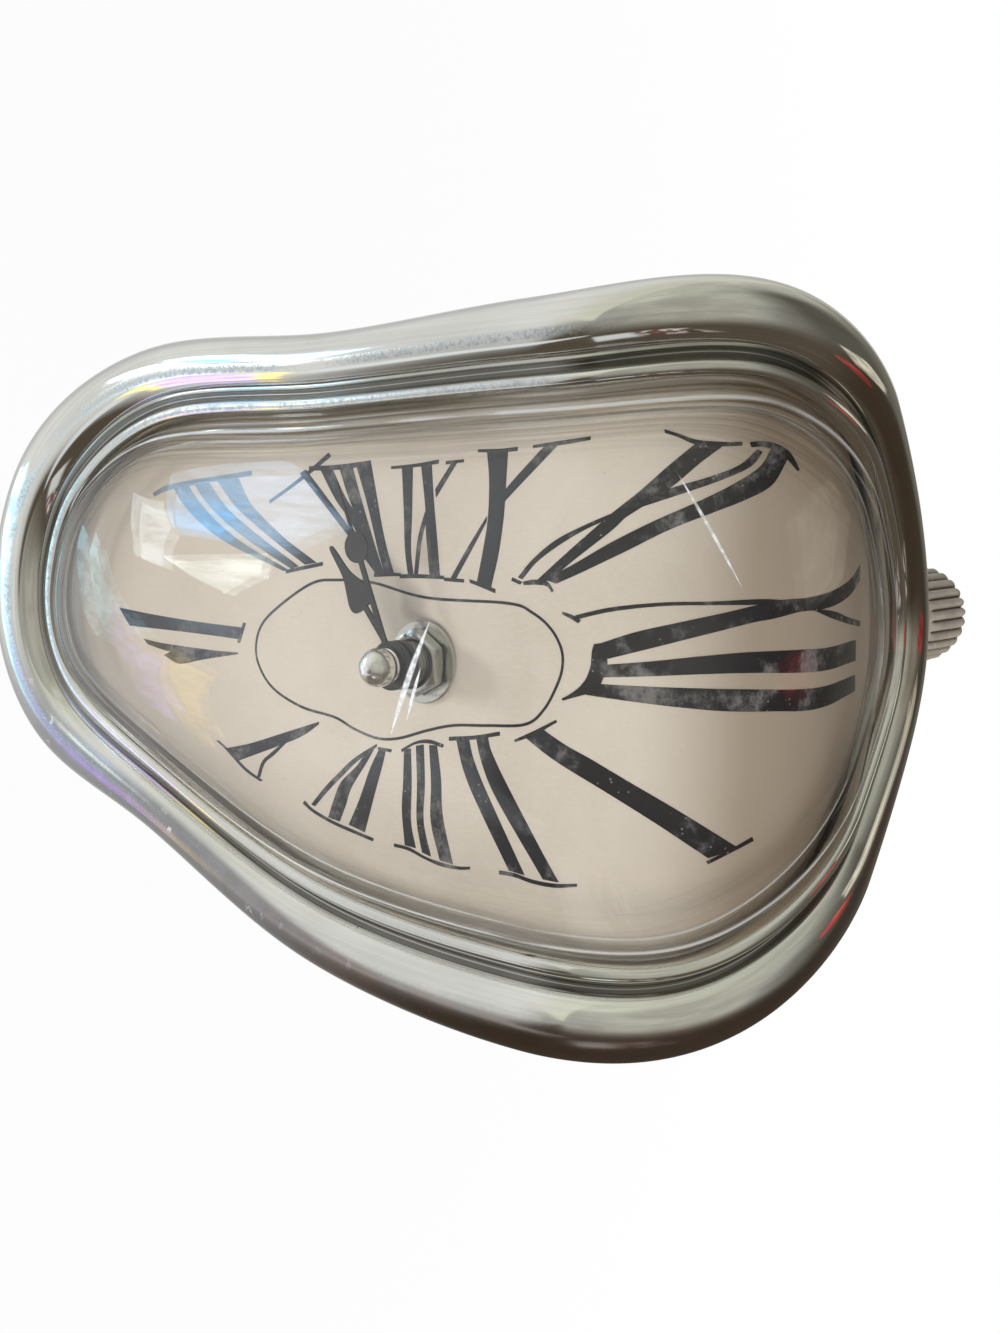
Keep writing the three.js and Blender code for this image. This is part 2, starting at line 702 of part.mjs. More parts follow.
function movementCover() {
  const reach = inner - fitGap;
  const lid = block(-reach, reach, coverFront, coverBack, chamberFloor + fitGap, reach);
  const pins = [
    rod(pinRadius, thirdLayer[0], coverFront + 0.5, 0, 0, 12),
    rod(pinRadius, fourthLayer[0], coverFront + 0.5, ...stepSpot, 12),
    rod(pinRadius, stepLayer[0], coverFront + 0.5, ...rotorSpot, 12),
  ];
  const knobHole = rod(knobStem + fitGap, coverFront - 1, coverBack + 1, ...knobSpot, 16);
  const tabNotches = [-1, 1].map((side) => {
    const x = side * (inner - 1);
    return block(x - 1.2, x + 1.2, coverFront - 1, coverBack + 1, chamberFloor, chamberFloor + 6);
  });
  return cut(join(lid, ...pins), knobHole, ...tabNotches);
}

function threadedBush() {
  const bore = hourTubeRadius + fitGap;
  const flangeFront = caseInside + fitGap;
  const flangeBack = hourLayer[0] - fitGap;
  const tube = rod(bushRadius, -bushLength, flangeBack);
  const flange = rod(bushFlange, flangeFront, flangeBack);
  return cut(join(tube, flange), rod(bore, -bushLength - 1, flangeBack + 1));
}

function washer(radius, front, back) {
  return cut(rod(radius, front, back, 0, 0, 28), rod(bushRadius + fitGap, front - 1, back + 1));
}

function hexNut(front) {
  const corner = nutFlats / 2 / Math.cos(Math.PI / 6);
  const hex = rod(corner, front, front + nutThickness, 0, 0, 6);
  return cut(hex, rod(bushRadius + fitGap, front - 1, front + nutThickness + 1));
}

const hourHandBack = -bushLength - 0.4;
const hourHandFront = hourHandBack - collarHandHeight;
const minuteHandBack = hourHandFront - 0.6;
const minuteHandFront = minuteHandBack - collarHandHeight;
const bladeSpan = (back) => {
  const middle = back - collarHandHeight / 2;
  return [middle - handThickness / 2, middle + handThickness / 2];
};

// A spade hand that points up: a stem, two round lobes and a long point.
function hourHand() {
  const lobe = hourLength / 2;
  const shape = new THREE.Shape();
  shape.moveTo(-0.75, 2);
  shape.lineTo(-0.75, lobe - 0.9);
  shape.bezierCurveTo(-1.6, lobe - 1.9, -3.8, lobe - 1.2, -3.3, lobe + 1.2);
  shape.bezierCurveTo(-2.9, lobe + 3.8, -1.1, lobe + 4.6, -0.75, lobe + 7);
  shape.lineTo(0, hourLength);
  shape.lineTo(0.75, lobe + 7);
  shape.bezierCurveTo(1.1, lobe + 4.6, 2.9, lobe + 3.8, 3.3, lobe + 1.2);
  shape.bezierCurveTo(3.8, lobe - 1.2, 1.6, lobe - 1.9, 0.75, lobe - 0.9);
  shape.lineTo(0.75, 2);
  const blade = plate(shape, ...bladeSpan(hourHandBack));
  const collar = rod(collarHandRadius, hourHandFront, hourHandBack);
  return cut(join(blade, collar), rod(hourTubeRadius + fitGap, hourHandFront - 1, hourHandBack + 1));
}

// A straight hand with a round disc two thirds of the way along.
function minuteHand() {
  const discAt = 21.3;
  const [front, back] = bladeSpan(minuteHandBack);
  const shape = new THREE.Shape();
  shape.moveTo(-0.65, 2);
  shape.lineTo(-0.5, discAt);
  shape.lineTo(-0.45, discAt + 3);
  shape.lineTo(-0.15, minuteLength);
  shape.lineTo(0.15, minuteLength);
  shape.lineTo(0.45, discAt + 3);
  shape.lineTo(0.5, discAt);
  shape.lineTo(0.65, 2);
  const disc = rod(2.7, front, back, 0, discAt);
  const collar = rod(collarHandRadius, minuteHandFront, minuteHandBack);
  const bore = rod(tipRadius + fitGap, minuteHandFront - 1, minuteHandBack + 1);
  return cut(join(plate(shape, front, back), disc, collar), bore);
}

const capBack = minuteHandFront - fitGap;
const domeMiddle = capBack - 3.4;

function capNut() {
  const profile = [[0, capBack], [capNutRadius, capBack], [capNutRadius, domeMiddle]];
  for (let angle = 18; angle < 90; angle += 18) {
    const turn = THREE.MathUtils.degToRad(angle);
    profile.push([capNutRadius * Math.cos(turn), domeMiddle - capNutRadius * Math.sin(turn)]);
  }
  profile.push([0, domeMiddle - capNutRadius]);
  return cut(turned(profile), rod(tipRadius + fitGap, domeMiddle, capBack + 1, 0, 0, 16));
}

// The minute arbor with its cannon pinion, reaching from the centre wheel to inside the cap nut.
function centreArbor() {
  const shoulder = minuteHandBack + fitGap;
  const shaft = rod(arborRadius, shoulder, centreLayer[1] + 0.3);
  const tip = rod(tipRadius, domeMiddle + fitGap, shoulder + 1, 0, 0, 16);
  return join(shaft, tip, gear(cannonTeeth, motionModule, cannonTooth, 0.8, motionLayer));
}

function hourWheel() {
  const tube = rod(hourTubeRadius, hourHandFront, hourLayer[1]);
  const wheel = gear(hourWheelTeeth, motionModule, hourTooth, 1, hourLayer);
  return cut(join(tube, wheel), rod(arborRadius + fitGap, hourHandFront - 1, hourLayer[1] + 1));
}

function minuteWheel() {
  const wheel = gear(minuteWheelTeeth, motionModule, minuteTooth, postBore, motionLayer, minuteSpot);
  const pinionSpan = [hourLayer[0], motionLayer[0] + 0.2];
  const pinion = gear(minutePinionTeeth, motionModule, 180, postBore, pinionSpan, minuteSpot);
  return join(wheel, pinion);
}

function settingKnob() {
  const stem = rod(knobStem, caseInside + fitGap, coverBack + 1, ...knobSpot, 16);
  const toothed = gear(knobTeeth, motionModule, knobTooth, 0.6, motionLayer, knobSpot);
  const gripSpan = layer(coverBack + fitGap, knobDepth);
  const grip = gear(knobRibs, (2 * knobRadius) / knobRibs, 0, knobStem / 2, gripSpan, knobSpot);
  return join(stem, toothed, grip);
}

function centreWheel() {
  return gear(centreWheelTeeth, centreModule, thirdDirection, arborRadius + fitGap, centreLayer);
}

function thirdWheel() {
  const pinionSpan = [centreLayer[0] - stagger, thirdLayer[0] + 0.2];
  const pinion = gear(thirdPinionTeeth, centreModule, thirdPinionTooth, pinBore, pinionSpan, thirdSpot);
  return join(gear(thirdWheelTeeth, thirdModule, backDirection, pinBore, thirdLayer, thirdSpot), pinion);
}

function fourthWheel() {
  const pinionSpan = [thirdLayer[0] - stagger, fourthLayer[0] + 0.2];
  const pinion = gear(fourthPinionTeeth, thirdModule, fourthPinionTooth, pinBore, pinionSpan);
  return join(gear(fourthWheelTeeth, fourthModule, stepDirection, pinBore, fourthLayer), pinion);
}

function stepWheel() {
  const pinionSpan = [fourthLayer[0] - stagger, stepLayer[0] + 0.2];
  const pinion = gear(stepPinionTeeth, fourthModule, stepPinionTooth, pinBore, pinionSpan, stepSpot);
  return join(gear(stepWheelTeeth, stepModule, rotorDirection, pinBore, stepLayer, stepSpot), pinion);
}

function rotor() {
  const pinionSpan = [stepLayer[0] - stagger, rotorLayer[0] + 0.2];
  const pinion = gear(rotorPinionTeeth, stepModule, rotorPinionTooth, pinBore, pinionSpan, rotorSpot);
  const magnet = rod(magnetRadius, ...rotorLayer, ...rotorSpot);
  return join(pinion, cut(magnet, rod(pinBore, ...widened(rotorLayer), ...rotorSpot, 12)));
}

const statorSpan = layer(boardFront, statorThickness);
const coreSpan = layer(boardFront - coreThickness - 0.2, coreThickness);

// A flat plate round the rotor, with an arm beside the coil that turns in above it.
function stator() {
  const plateTop = coilSpan[0] - 2;
  const bridge = coilSpan[1] + 2;
  const shape = new THREE.Shape();
  shape.moveTo(statorOut, rotorZ - statorReach);
  shape.lineTo(rotorX + statorReach, rotorZ - statorReach);
  shape.lineTo(rotorX + statorReach, plateTop);
  shape.lineTo(armRight, plateTop);
  shape.lineTo(armRight, statorTop);
  shape.lineTo(statorOut, statorTop);
  shape.lineTo(statorOut, bridge);
  shape.lineTo(armLeft, bridge);
  shape.lineTo(armLeft, plateTop);
  shape.lineTo(statorOut, plateTop);
  shape.closePath();
  const [coreLeft, coreRight] = [coilX - coreWidth / 2, coilX + coreWidth / 2];
  const bar = (back, z0, z1) => block(coreLeft, coreRight, coreSpan[0], back, z0, z1);
  const core = bar(coreSpan[1], plateTop - 2, bridge + 2);
  const feet = [bar(statorSpan[1], plateTop - 2.5, plateTop), bar(statorSpan[1], bridge, bridge + 2.5)];
  const hole = rod(magnetRadius + 0.7, statorSpan[0] - 1, statorSpan[1] + 1, ...rotorSpot);
  return cut(join(plate(shape, ...statorSpan), core, ...feet), hole);
}

// The coil on its bobbin, wound as one smooth body with a flange at each end.
function coil() {
  const [z0, z1] = coilSpan;
  const middle = (coreSpan[0] + coreSpan[1]) / 2;
  const along = (radius, from, to) => {
    const geometry = new THREE.CylinderGeometry(radius, radius, to - from, 20).rotateX(Math.PI / 2);
    return solid(geometry.translate(coilX, middle, (from + to) / 2));
  };
  const flanges = [along(coilRadius, z0, z0 + 0.8), along(coilRadius, z1 - 0.8, z1)];
  const width = coreWidth / 2 + fitGap;
  const depth = coreThickness / 2 + fitGap;
  const bore = block(coilX - width, coilX + width, middle - depth, middle + depth, z0 - 1, z1 + 1);
  return cut(join(along(coilRadius - 0.5, z0, z1), ...flanges), bore);
}

function circuitBoard() {
  const boardBack = boardFront + boardThickness;
  const board = block(boardLeft, boardRight, boardFront, boardBack, boardBottom, boardRight);
  const profile = [
    [0, boardBack + 0.9],
    [chipRadius - 1, boardBack + 0.7],
    [chipRadius, boardBack - 0.1],
    [0, boardBack - 0.1],
  ];
  return join(board, turned(profile, boardLeft + boardWidth / 3, (boardBottom + boardRight) / 2));
}

// The crystal's small can lies in front of the board.
function quartzCrystal() {
  const can = new THREE.CylinderGeometry(crystalRadius, crystalRadius, crystalLength, 16);
  const x = boardLeft + boardWidth * 0.65;
  const y = boardFront - fitGap - crystalRadius;
  return solid(can.rotateZ(Math.PI / 2).translate(x, y, boardBottom + 2.5 * crystalRadius));
}

function battery() {
  const z = -inner + fitGap + batteryRadius;
  const y = caseInside + fitGap + batteryRadius;
  const start = -(batteryLength + nubLength) / 2;
  const profile = [
    [0, start],
    [batteryRadius - 0.6, start],
    [batteryRadius, start + 0.6],
    [batteryRadius, start + batteryLength - 0.8],
    [batteryRadius - 0.8, start + batteryLength],
    [nubRadius, start + batteryLength],
    [nubRadius, start + batteryLength + nubLength],
    [0, start + batteryLength + nubLength],
  ].map(([r, along]) => new THREE.Vector2(r, along));
  const geometry = new THREE.LatheGeometry(profile, 24).rotateZ(-Math.PI / 2);
  return solid(geometry.translate(0, y, z));
}

// A leaf contact: a strip against the end wall of the bay, with a tab up into the wheel chamber.
function batteryContact(side) {
  const outside = side * (inner - fitGap);
  const inside = outside - side * contactThickness;
  const [x0, x1] = side > 0 ? [inside, outside] : [outside, inside];
  const middle = -inner + fitGap + batteryRadius;
  const [z0, z1] = [middle - contactWidth / 2, middle + contactWidth / 2];
  const strip = block(x0, x1, caseInside + 2, caseBack - 2, z0, z1);
  const tab = block(x0, x1, caseBack - 6, caseBack - 2, middle, chamberFloor + 4);
  return join(strip, tab);
}

const clock = new THREE.Group();
place(clock, "front_case", frontCase(), chrome);
place(clock, "back_case", backCase(), blackPlastic);
place(clock, "lens", lens(), clearPlastic);
place(clock, "dial_sheet", dialSheet(), paper);
place(clock, "dial_plate", dialPlate(), blackPlastic);
place(clock, "ballast", ballast(), steel);
place(clock, "crown", crown(), crownPaint);
place(clock, "crown_screw", crownScrew(), steel);
screwSpots.forEach((spot, i) => place(clock, `case_screw_${i + 1}`, caseScrew(spot), steel));

// The movement's pieces are modelled from the hands' axis, where it meets the dial face.
const movement = new THREE.Group();
movement.position.set(0, dialY, hubZ);
clock.add(movement);
place(movement, "movement_case", movementCase(), greyPlastic);
place(movement, "movement_cover", movementCover(), greyPlastic);
place(movement, "threaded_bush", threadedBush(), brass);
const dialWasherFront = -fitGap - dialWasherThickness;
place(movement, "rubber_washer", washer(rubberWasherRadius, washerFront, caseFront - fitGap), rubber);
place(movement, "dial_washer", washer(dialWasherRadius, dialWasherFront, -fitGap), chrome);
place(movement, "hex_nut", hexNut(dialWasherFront - fitGap - nutThickness), chrome);
place(movement, "cap_nut", capNut(), chrome);
place(movement, "centre_arbor", centreArbor(), steel);
place(movement, "hour_wheel", hourWheel(), whitePlastic);
place(movement, "minute_wheel", minuteWheel(), whitePlastic);
place(movement, "setting_knob", settingKnob(), whitePlastic);
place(movement, "centre_wheel", centreWheel(), whitePlastic);
place(movement, "third_wheel", thirdWheel(), whitePlastic);
place(movement, "fourth_wheel", fourthWheel(), whitePlastic);
place(movement, "step_wheel", stepWheel(), whitePlastic);
place(movement, "rotor", rotor(), steel);
place(movement, "stator", stator(), steel);
place(movement, "coil", coil(), copper);
place(movement, "circuit_board", circuitBoard(), greyPlastic);
place(movement, "quartz_crystal", quartzCrystal(), steel);
place(movement, "battery", battery(), steel);
place(movement, "contact_plus", batteryContact(1), steel);
place(movement, "contact_minus", batteryContact(-1), steel);
place(movement, "hour_hand", hourHand(), handPaint).rotation.y = THREE.MathUtils.degToRad(hourAngle);
place(movement, "minute_hand", minuteHand(), handPaint).rotation.y = THREE.MathUtils.degToRad(minuteAngle);

export default clock;
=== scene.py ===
# Melted shelf clock: the looks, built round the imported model.
import json
import math

import bpy
import numpy as np
from mathutils import Matrix, Vector


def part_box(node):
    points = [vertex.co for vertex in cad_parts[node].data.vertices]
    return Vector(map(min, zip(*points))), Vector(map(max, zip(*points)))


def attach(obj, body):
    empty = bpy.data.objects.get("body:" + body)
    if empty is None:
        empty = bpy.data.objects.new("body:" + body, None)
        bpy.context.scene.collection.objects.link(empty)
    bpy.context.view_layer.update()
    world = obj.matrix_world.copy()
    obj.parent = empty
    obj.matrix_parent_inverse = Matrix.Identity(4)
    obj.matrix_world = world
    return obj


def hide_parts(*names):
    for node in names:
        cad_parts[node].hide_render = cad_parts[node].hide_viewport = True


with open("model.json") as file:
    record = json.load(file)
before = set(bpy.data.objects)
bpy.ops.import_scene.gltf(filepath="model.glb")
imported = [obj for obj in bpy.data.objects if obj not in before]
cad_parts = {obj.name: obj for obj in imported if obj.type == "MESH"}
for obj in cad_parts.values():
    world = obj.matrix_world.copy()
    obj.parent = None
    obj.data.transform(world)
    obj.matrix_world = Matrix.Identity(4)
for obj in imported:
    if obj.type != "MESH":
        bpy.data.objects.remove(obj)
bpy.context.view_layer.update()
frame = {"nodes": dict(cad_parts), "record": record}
nodes = frame["nodes"]
print("frame loaded:", len(nodes), "nodes")

mm = 0.001

# The dial's surface: upright below, round over the shelf's edge, then falling gently to the rear; in mm
dial = {"bendRadius": 33, "hubDrop": 26, "bendTurn": math.radians(100), "bendAxisY": -11, "bendAxisZ": -9}
hubY = dial["bendAxisY"] - dial["bendRadius"]
hubZ = dial["bendAxisZ"] - dial["hubDrop"]


# Shader helpers
class Value:
    # a socket that takes part in arithmetic; each operator adds a Math node
    def __init__(self, finish, socket):
        self.finish, self.socket = finish, socket

    def math(self, operation, a, b=None, clamp=False):
        values = {0: a} if b is None else {0: a, 1: b}
        return self.finish.add("ShaderNodeMath", {"operation": operation, "use_clamp": clamp}, values)

    def __add__(self, other): return self.math("ADD", self, other)
    def __radd__(self, other): return self.math("ADD", other, self)
    def __sub__(self, other): return self.math("SUBTRACT", self, other)
    def __rsub__(self, other): return self.math("SUBTRACT", other, self)
    def __mul__(self, other): return self.math("MULTIPLY", self, other)
    def __rmul__(self, other): return self.math("MULTIPLY", other, self)
    def __truediv__(self, other): return self.math("DIVIDE", self, other)
    def __rtruediv__(self, other): return self.math("DIVIDE", other, self)
    def __pow__(self, other): return self.math("POWER", self, other)
    def __abs__(self): return self.math("ABSOLUTE", self)
    def clamped(self): return self.math("ADD", self, 0, True)
    def atMost(self, other): return self.math("MINIMUM", self, other)
    def atLeast(self, other): return self.math("MAXIMUM", self, other)

    def ramp(self, low, high):
        # 0 below low, 1 above high, smooth between
        values = {"Value": self, "From Min": low, "From Max": high}
        return self.finish.add("ShaderNodeMapRange", {"interpolation_type": "SMOOTHSTEP"}, values)

    def fall(self, low, high):
        return 1 - self.ramp(low, high)

    def near(self, middle, inner, outer):
        # 1 within inner of middle, 0 farther off than outer
        return abs(self - middle).fall(inner, outer)


def rgba(colour):
    return colour if isinstance(colour, Value) else (*colour, 1)


class Finish:
    # a material, or the world's nodes: add() makes any node, and the Principled shader takes the constants
    def __init__(self, name, tree=None, **constants):
        if tree:
            self.tree, self.output = tree, tree.nodes["World Output"]
            return
        self.material = bpy.data.materials.new(name)
        self.material.use_nodes = True
        self.tree = self.material.node_tree
        self.shader = self.tree.nodes["Principled BSDF"]
        self.principled = Value(self, self.shader.outputs[0])
        self.output = self.tree.nodes["Material Output"]
        for key, value in constants.items():
            self.shader.inputs[key.replace("_", " ")].default_value = value

    def add(self, kind, settings=None, values=None, out=0):
        node = self.tree.nodes.new(kind)
        for key, value in (settings or {}).items():
            setattr(node, key, value)
        for key, value in (values or {}).items():
            if isinstance(value, Value):
                self.tree.links.new(value.socket, node.inputs[key])
            elif value is not None:
                node.inputs[key].default_value = value
        return Value(self, node.outputs[out])

    def link(self, value, socket):
        self.tree.links.new(value.socket, self.shader.inputs[socket])

    def show(self, value):
        self.tree.links.new(value.socket, self.output.inputs["Surface"])

    def place(self):
        return self.add("ShaderNodeTexCoord", None, None, "Object")

    def stored(self, name, out="Fac"):
        return self.add("ShaderNodeAttribute", {"attribute_name": name}, None, out)

    def scaled(self, vector, scale):
        return self.add("ShaderNodeMapping", None, {"Vector": vector, "Scale": scale})

    def noise(self, vector, scale, detail=4, rough=0.55):
        values = {"Vector": vector, "Scale": scale, "Detail": detail, "Roughness": rough}
        return self.add("ShaderNodeTexNoise", None, values, "Fac")

    def streaks(self, vector, scales, detail=4, rough=0.55):
        # noise with a scale for each axis
        return self.noise(self.scaled(vector, scales), 1, detail, rough)

    def cells(self, vector, scale, out="Distance"):
        return self.add("ShaderNodeTexVoronoi", None, {"Vector": vector, "Scale": scale}, out)

    def dots(self, place, scale, size, patches, within):
        # small dots that fade over the two distances of size, only where patchy noise lies within its range
        return self.cells(place, scale).fall(*size) * self.noise(place, *patches).ramp(*within)

    def axes(self, vector, names="XYZ"):
        return [self.add("ShaderNodeSeparateXYZ", None, {0: vector}, axis) for axis in names]

    def vector(self, operation, a, b=None, out="Value"):
        return self.add("ShaderNodeVectorMath", {"operation": operation}, {0: a, 1: b}, out)

    def ray(self, kind):
        return self.add("ShaderNodeLightPath", None, None, "Is " + kind + " Ray")

    def mix(self, share, first, second):
        return self.add("ShaderNodeMix", {"data_type": "RGBA"}, {0: share, 6: rgba(first), 7: rgba(second)}, 2)

    def shaders(self, share, first, second):
        return self.add("ShaderNodeMixShader", None, {0: share, 1: first, 2: second})

    def glow(self, colour):
        return self.add("ShaderNodeEmission", None, {"Color": rgba(colour), "Strength": 1})

    def bump(self, height, distance, strength):
        values = {"Strength": strength, "Distance": distance, "Height": height}
        self.link(self.add("ShaderNodeBump", None, values), "Normal")

    def colour(self, value): self.link(value, "Base Color")
    def rough(self, value): self.link(value, "Roughness")


# Mesh helpers
def onDial(s, x, height):
    # s runs up the dial from the hands' axis, x to the right, height out of its face; all in mm, result in metres
    s, x, height = np.broadcast_arrays(*(np.asarray(v, float) for v in (s, x, height)))
    above = s - dial["hubDrop"]
    turn = np.clip(above / dial["bendRadius"], 0, dial["bendTurn"])
    past = np.where(above < 0, above, np.maximum(0, above - dial["bendRadius"] * dial["bendTurn"]))
    reach = dial["bendRadius"] + height
    y = dial["bendAxisY"] - np.cos(turn) * reach + np.sin(turn) * past
    z = dial["bendAxisZ"] + np.sin(turn) * reach + np.cos(turn) * past
    return np.stack([x, y, z], -1) * mm


def gridFaces(rings, count, wrapRings):
    # quads between neighbouring rings of count points each
    bands = rings if wrapRings else rings - 1
    r, i = np.meshgrid(np.arange(bands), np.arange(count), indexing="ij")
    near, far = r * count, ((r + 1) % rings) * count
    j = (i + 1) % count
    return np.stack([near + i, near + j, far + j, far + i], -1).reshape(-1, 4).tolist()


def ladderFaces(first, count, flip):
    # closes a slim ring of points by rungs between opposite places
    i = np.arange(1, (count - 1) // 2)
    quads = np.stack([i, i + 1, count - i - 1, count - i], -1) + first
    faces = quads.tolist() + [[first, first + 1, first + count - 1]]
    if count % 2 == 0:
        half = count // 2
        faces.append([first + half - 1, first + half, first + half + 1])
    return [f[::-1] for f in faces] if flip else faces


def linked(name, data):
    thing = bpy.data.objects.new(name, data)
    bpy.context.scene.collection.objects.link(thing)
    return thing


def addMesh(name, points, faces, slot, body="case", material=None, sharp=35, stored=None, node=None):
    # a visible piece, in place of a CAD node if one is named; the sign of its volume turns its faces outwards
    points = np.asarray(points, float).reshape(-1, 3)
    triangles = np.array([[f[0], f[k], f[k + 1]] for f in faces for k in range(1, len(f) - 1)])
    a, b, c = (points[triangles[:, k]] for k in range(3))
    if np.einsum("ij,ij->i", a, np.cross(b, c)).sum() < 0:
        faces = [f[::-1] for f in faces]
    mesh = bpy.data.meshes.new(name)
    mesh.from_pydata(points.tolist(), [], faces)
    mesh.polygons.foreach_set("use_smooth", np.ones(len(mesh.polygons), bool))
    for key, values in (stored or {}).items():
        values = np.asarray(values, np.float32)
        if values.ndim == 1:
            mesh.attributes.new(key, "FLOAT", "POINT").data.foreach_set("value", values)
        else:
            mesh.attributes.new(key, "FLOAT_VECTOR", "POINT").data.foreach_set("vector", values.ravel())
    mesh.update()
    mesh.set_sharp_from_angle(angle=math.radians(sharp))
    mesh.materials.append(material or finishes[slot])
    piece = linked(name, mesh)
    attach(piece, body)
    if node:
        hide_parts(node)
    return piece


def smoothLine(points, steps, closed=False):
    # a curve through points: each stretch is a cubic whose slope at a point runs between its neighbours
    points = np.asarray(points, float)
    if closed:
        padded = np.concatenate([points[-1:], points, points[:2]])
        stretches = len(points)
    else:
        padded = np.concatenate([2 * points[:1] - points[1:2], points, 2 * points[-1:] - points[-2:-1]])
        stretches = len(points) - 1
    f = (np.arange(steps) / steps)[None, :, None]
    p0, p1, p2, p3 = (padded[k:k + stretches, None, :] for k in range(4))
    square, cube = 2 * p0 - 5 * p1 + 4 * p2 - p3, 3 * p1 - p0 - 3 * p2 + p3
    line = 0.5 * (2 * p1 + (p2 - p0) * f + square * f**2 + cube * f**3)
    line = line.reshape(-1, points.shape[1])
    return line if closed else np.concatenate([line, points[-1:]])


def turned(profile, sides, radiusAt=None):
    # a profile of [radius, distance behind the dial] turned about the hands' axis, in mm
    profile = np.asarray(profile, float)
    turn = np.arange(sides) * 2 * math.pi / sides
    radius = profile[:, :1] * np.ones(sides) if radiusAt is None else radiusAt(profile, turn)
    return np.stack([radius * np.cos(turn), hubY + profile[:, 1:] * np.ones(sides), hubZ + radius * np.sin(turn)], -1)


def turnedPiece(name, profile, slot, node, sides=96, radiusAt=None, **more):
    points = turned(profile, sides, radiusAt) * mm
    addMesh(name, points, gridFaces(len(profile), sides, True), slot, node=node, **more)


# Finishes
def chromeFinish():
    # bright plating over moulded plastic: painted shade in the groove, a frosted worn band on the tube's inner flank
    # and a narrow one on the lip, drawn lines and pits; along the clock's right side the outer flank is dulled and
    # carries a painted dark reflection, grey low down and brown higher up; painted shade where the plating turns away
    # from view
    f = Finish("rimChrome", Metallic=1)
    place = f.place()
    across = f.stored("across")
    rim = f.stored("rimSpace", "Vector")
    x, y, z = f.axes(place)
    patches = f.streaks(rim, (45, 45, 90), 4, 0.6)
    speckle = f.noise(place, 1500, 3, 0.7).ramp(0.42, 0.60)
    band = across.near(0.93, 0.05, 0.12).atLeast(across.near(0.16, 0.03, 0.08))
    frost = band * patches.ramp(0.34, 0.50) * (0.45 + 0.55 * speckle)
    frost = frost * (1 - 0.75 * x.ramp(-0.01, 0.03)) * (1 - 0.9 * z.ramp(-0.004, 0.008))
    rustAndReflection = f.noise(place, 90, 6, 0.75)
    # painted dark reflection on the outer flank along the clock's right side, reaching further in low down and at the
    # rear, mottled by noise, grey low down and brown higher up
    high = z.ramp(-0.085, -0.03)
    wrapped = (0.30 * (1 - high)).atLeast(0.26 * y.ramp(-0.028, -0.006))
    outer = (across + wrapped).ramp(0.90, 1.06) * x.ramp(0, 0.028) * (0.55 + 0.6 * rustAndReflection)
    sparks = f.noise(place, 420, 3, 0.7).ramp(0.60, 0.68) * f.noise(place, 65, 2).ramp(0.48, 0.6)
    sparks = sparks * outer * (1 - high)
    away = f.add("ShaderNodeLayerWeight", None, {"Blend": 0.5}, "Facing")
    # painted shade in the groove between the lip and the tube
    groove = across.near(0.39, 0.04, 0.11) * (0.55 + 0.45 * patches)
    # browner on the inner flank at the rear, on the clock's left
    rearBrown = across.near(0.68, 0.13, 0.22) * y.ramp(-0.028, -0.014) * x.fall(0, 0.02) * (0.7 + 0.5 * patches)
    drawn = f.streaks(rim, (26, 26, 1500), 4, 0.65)
    pits = f.dots(place, 420, (0.05, 0.12), (60, 2), (0.58, 0.7))
    haze = f.noise(place, 24, 4)
    grey = f.mix(high, (0.13, 0.13, 0.14), (0.13, 0.09, 0.08))
    brown = f.mix(high, (0.24, 0.24, 0.26), (0.26, 0.17, 0.14))
    tone = f.mix(haze.ramp(0.35, 0.7), (0.64, 0.64, 0.60), (0.76, 0.76, 0.72))
    tone = f.mix(drawn.ramp(0.35, 0.75) * 0.30, tone, (0.40, 0.40, 0.39))
    tone = f.mix(frost * 0.85, tone, (0.35, 0.365, 0.375))
    tone = f.mix(groove * 0.72, tone, (0.15, 0.14, 0.13))
    tone = f.mix((rearBrown * 0.75).clamped(), tone, (0.20, 0.145, 0.10))
    tone = f.mix((outer * 0.9).clamped(), tone, f.mix(rustAndReflection.ramp(0.4, 0.65), grey, brown))
    tone = f.mix((sparks * 0.9).clamped(), tone, (0.80, 0.81, 0.84))
    # painted shade: the plating darkens to near black where its faces turn away from view, outlining its edges
    tone = f.mix(away.ramp(0.52, 0.86) * 0.85, tone, (0.15, 0.145, 0.14))
    f.colour(f.mix(pits * 0.7, tone, (0.2, 0.18, 0.16)))
    dull = 0.34 * frost + 0.14 * outer + 0.12 * groove + 0.3 * pits
    f.rough((0.05 + 0.05 * haze + 0.06 * drawn.ramp(0.5, 0.8) + dull).clamped())
    f.bump(f.noise(place, 70, 2) * 0.5 + drawn * 0.10 - 0.4 * pits + 0.2 * frost, 0.00006, 0.4)
    return f.material


def paperFinish():
    # cream card: soft mottling, fibres and a few faint stains
    f = Finish("dialPaper", Specular_IOR_Level=0.25)
    place = f.place()
    cloud = f.noise(place, 22, 5, 0.6)
    fibres = f.streaks(place, (2600, 2600, 700), 3, 0.7)
    specks = f.dots(place, 420, (0.05, 0.13), (75, 2), (0.56, 0.68))
    tone = f.mix(cloud.ramp(0.3, 0.72), (0.60, 0.535, 0.455), (0.69, 0.625, 0.545))
    tone = f.mix(fibres.ramp(0.35, 0.75) * 0.22, tone, (0.78, 0.72, 0.65))
    # painted shade: darker towards the rim, most at the rear end, and a little low down
    x, y, z = f.axes(place)
    rear = y.ramp(-0.04, 0)
    paintedShade = f.stored("rimShade") * (0.30 + 0.35 * rear) * (1 - 0.75 * x.ramp(0, 0.03) * (1 - rear))
    paintedShade = paintedShade + 0.78 * y.ramp(-0.0415, -0.026) + 0.24 * z.fall(-0.11, -0.05)
    tone = f.mix(paintedShade.atMost(0.92), tone, (0.31, 0.24, 0.175))
    f.colour(f.mix(specks * 0.35, tone, (0.36, 0.30, 0.24)))
    f.rough(0.66 + 0.16 * cloud)
    f.bump(fibres + 0.6 * cloud, 0.00002, 0.5)
    return f.material


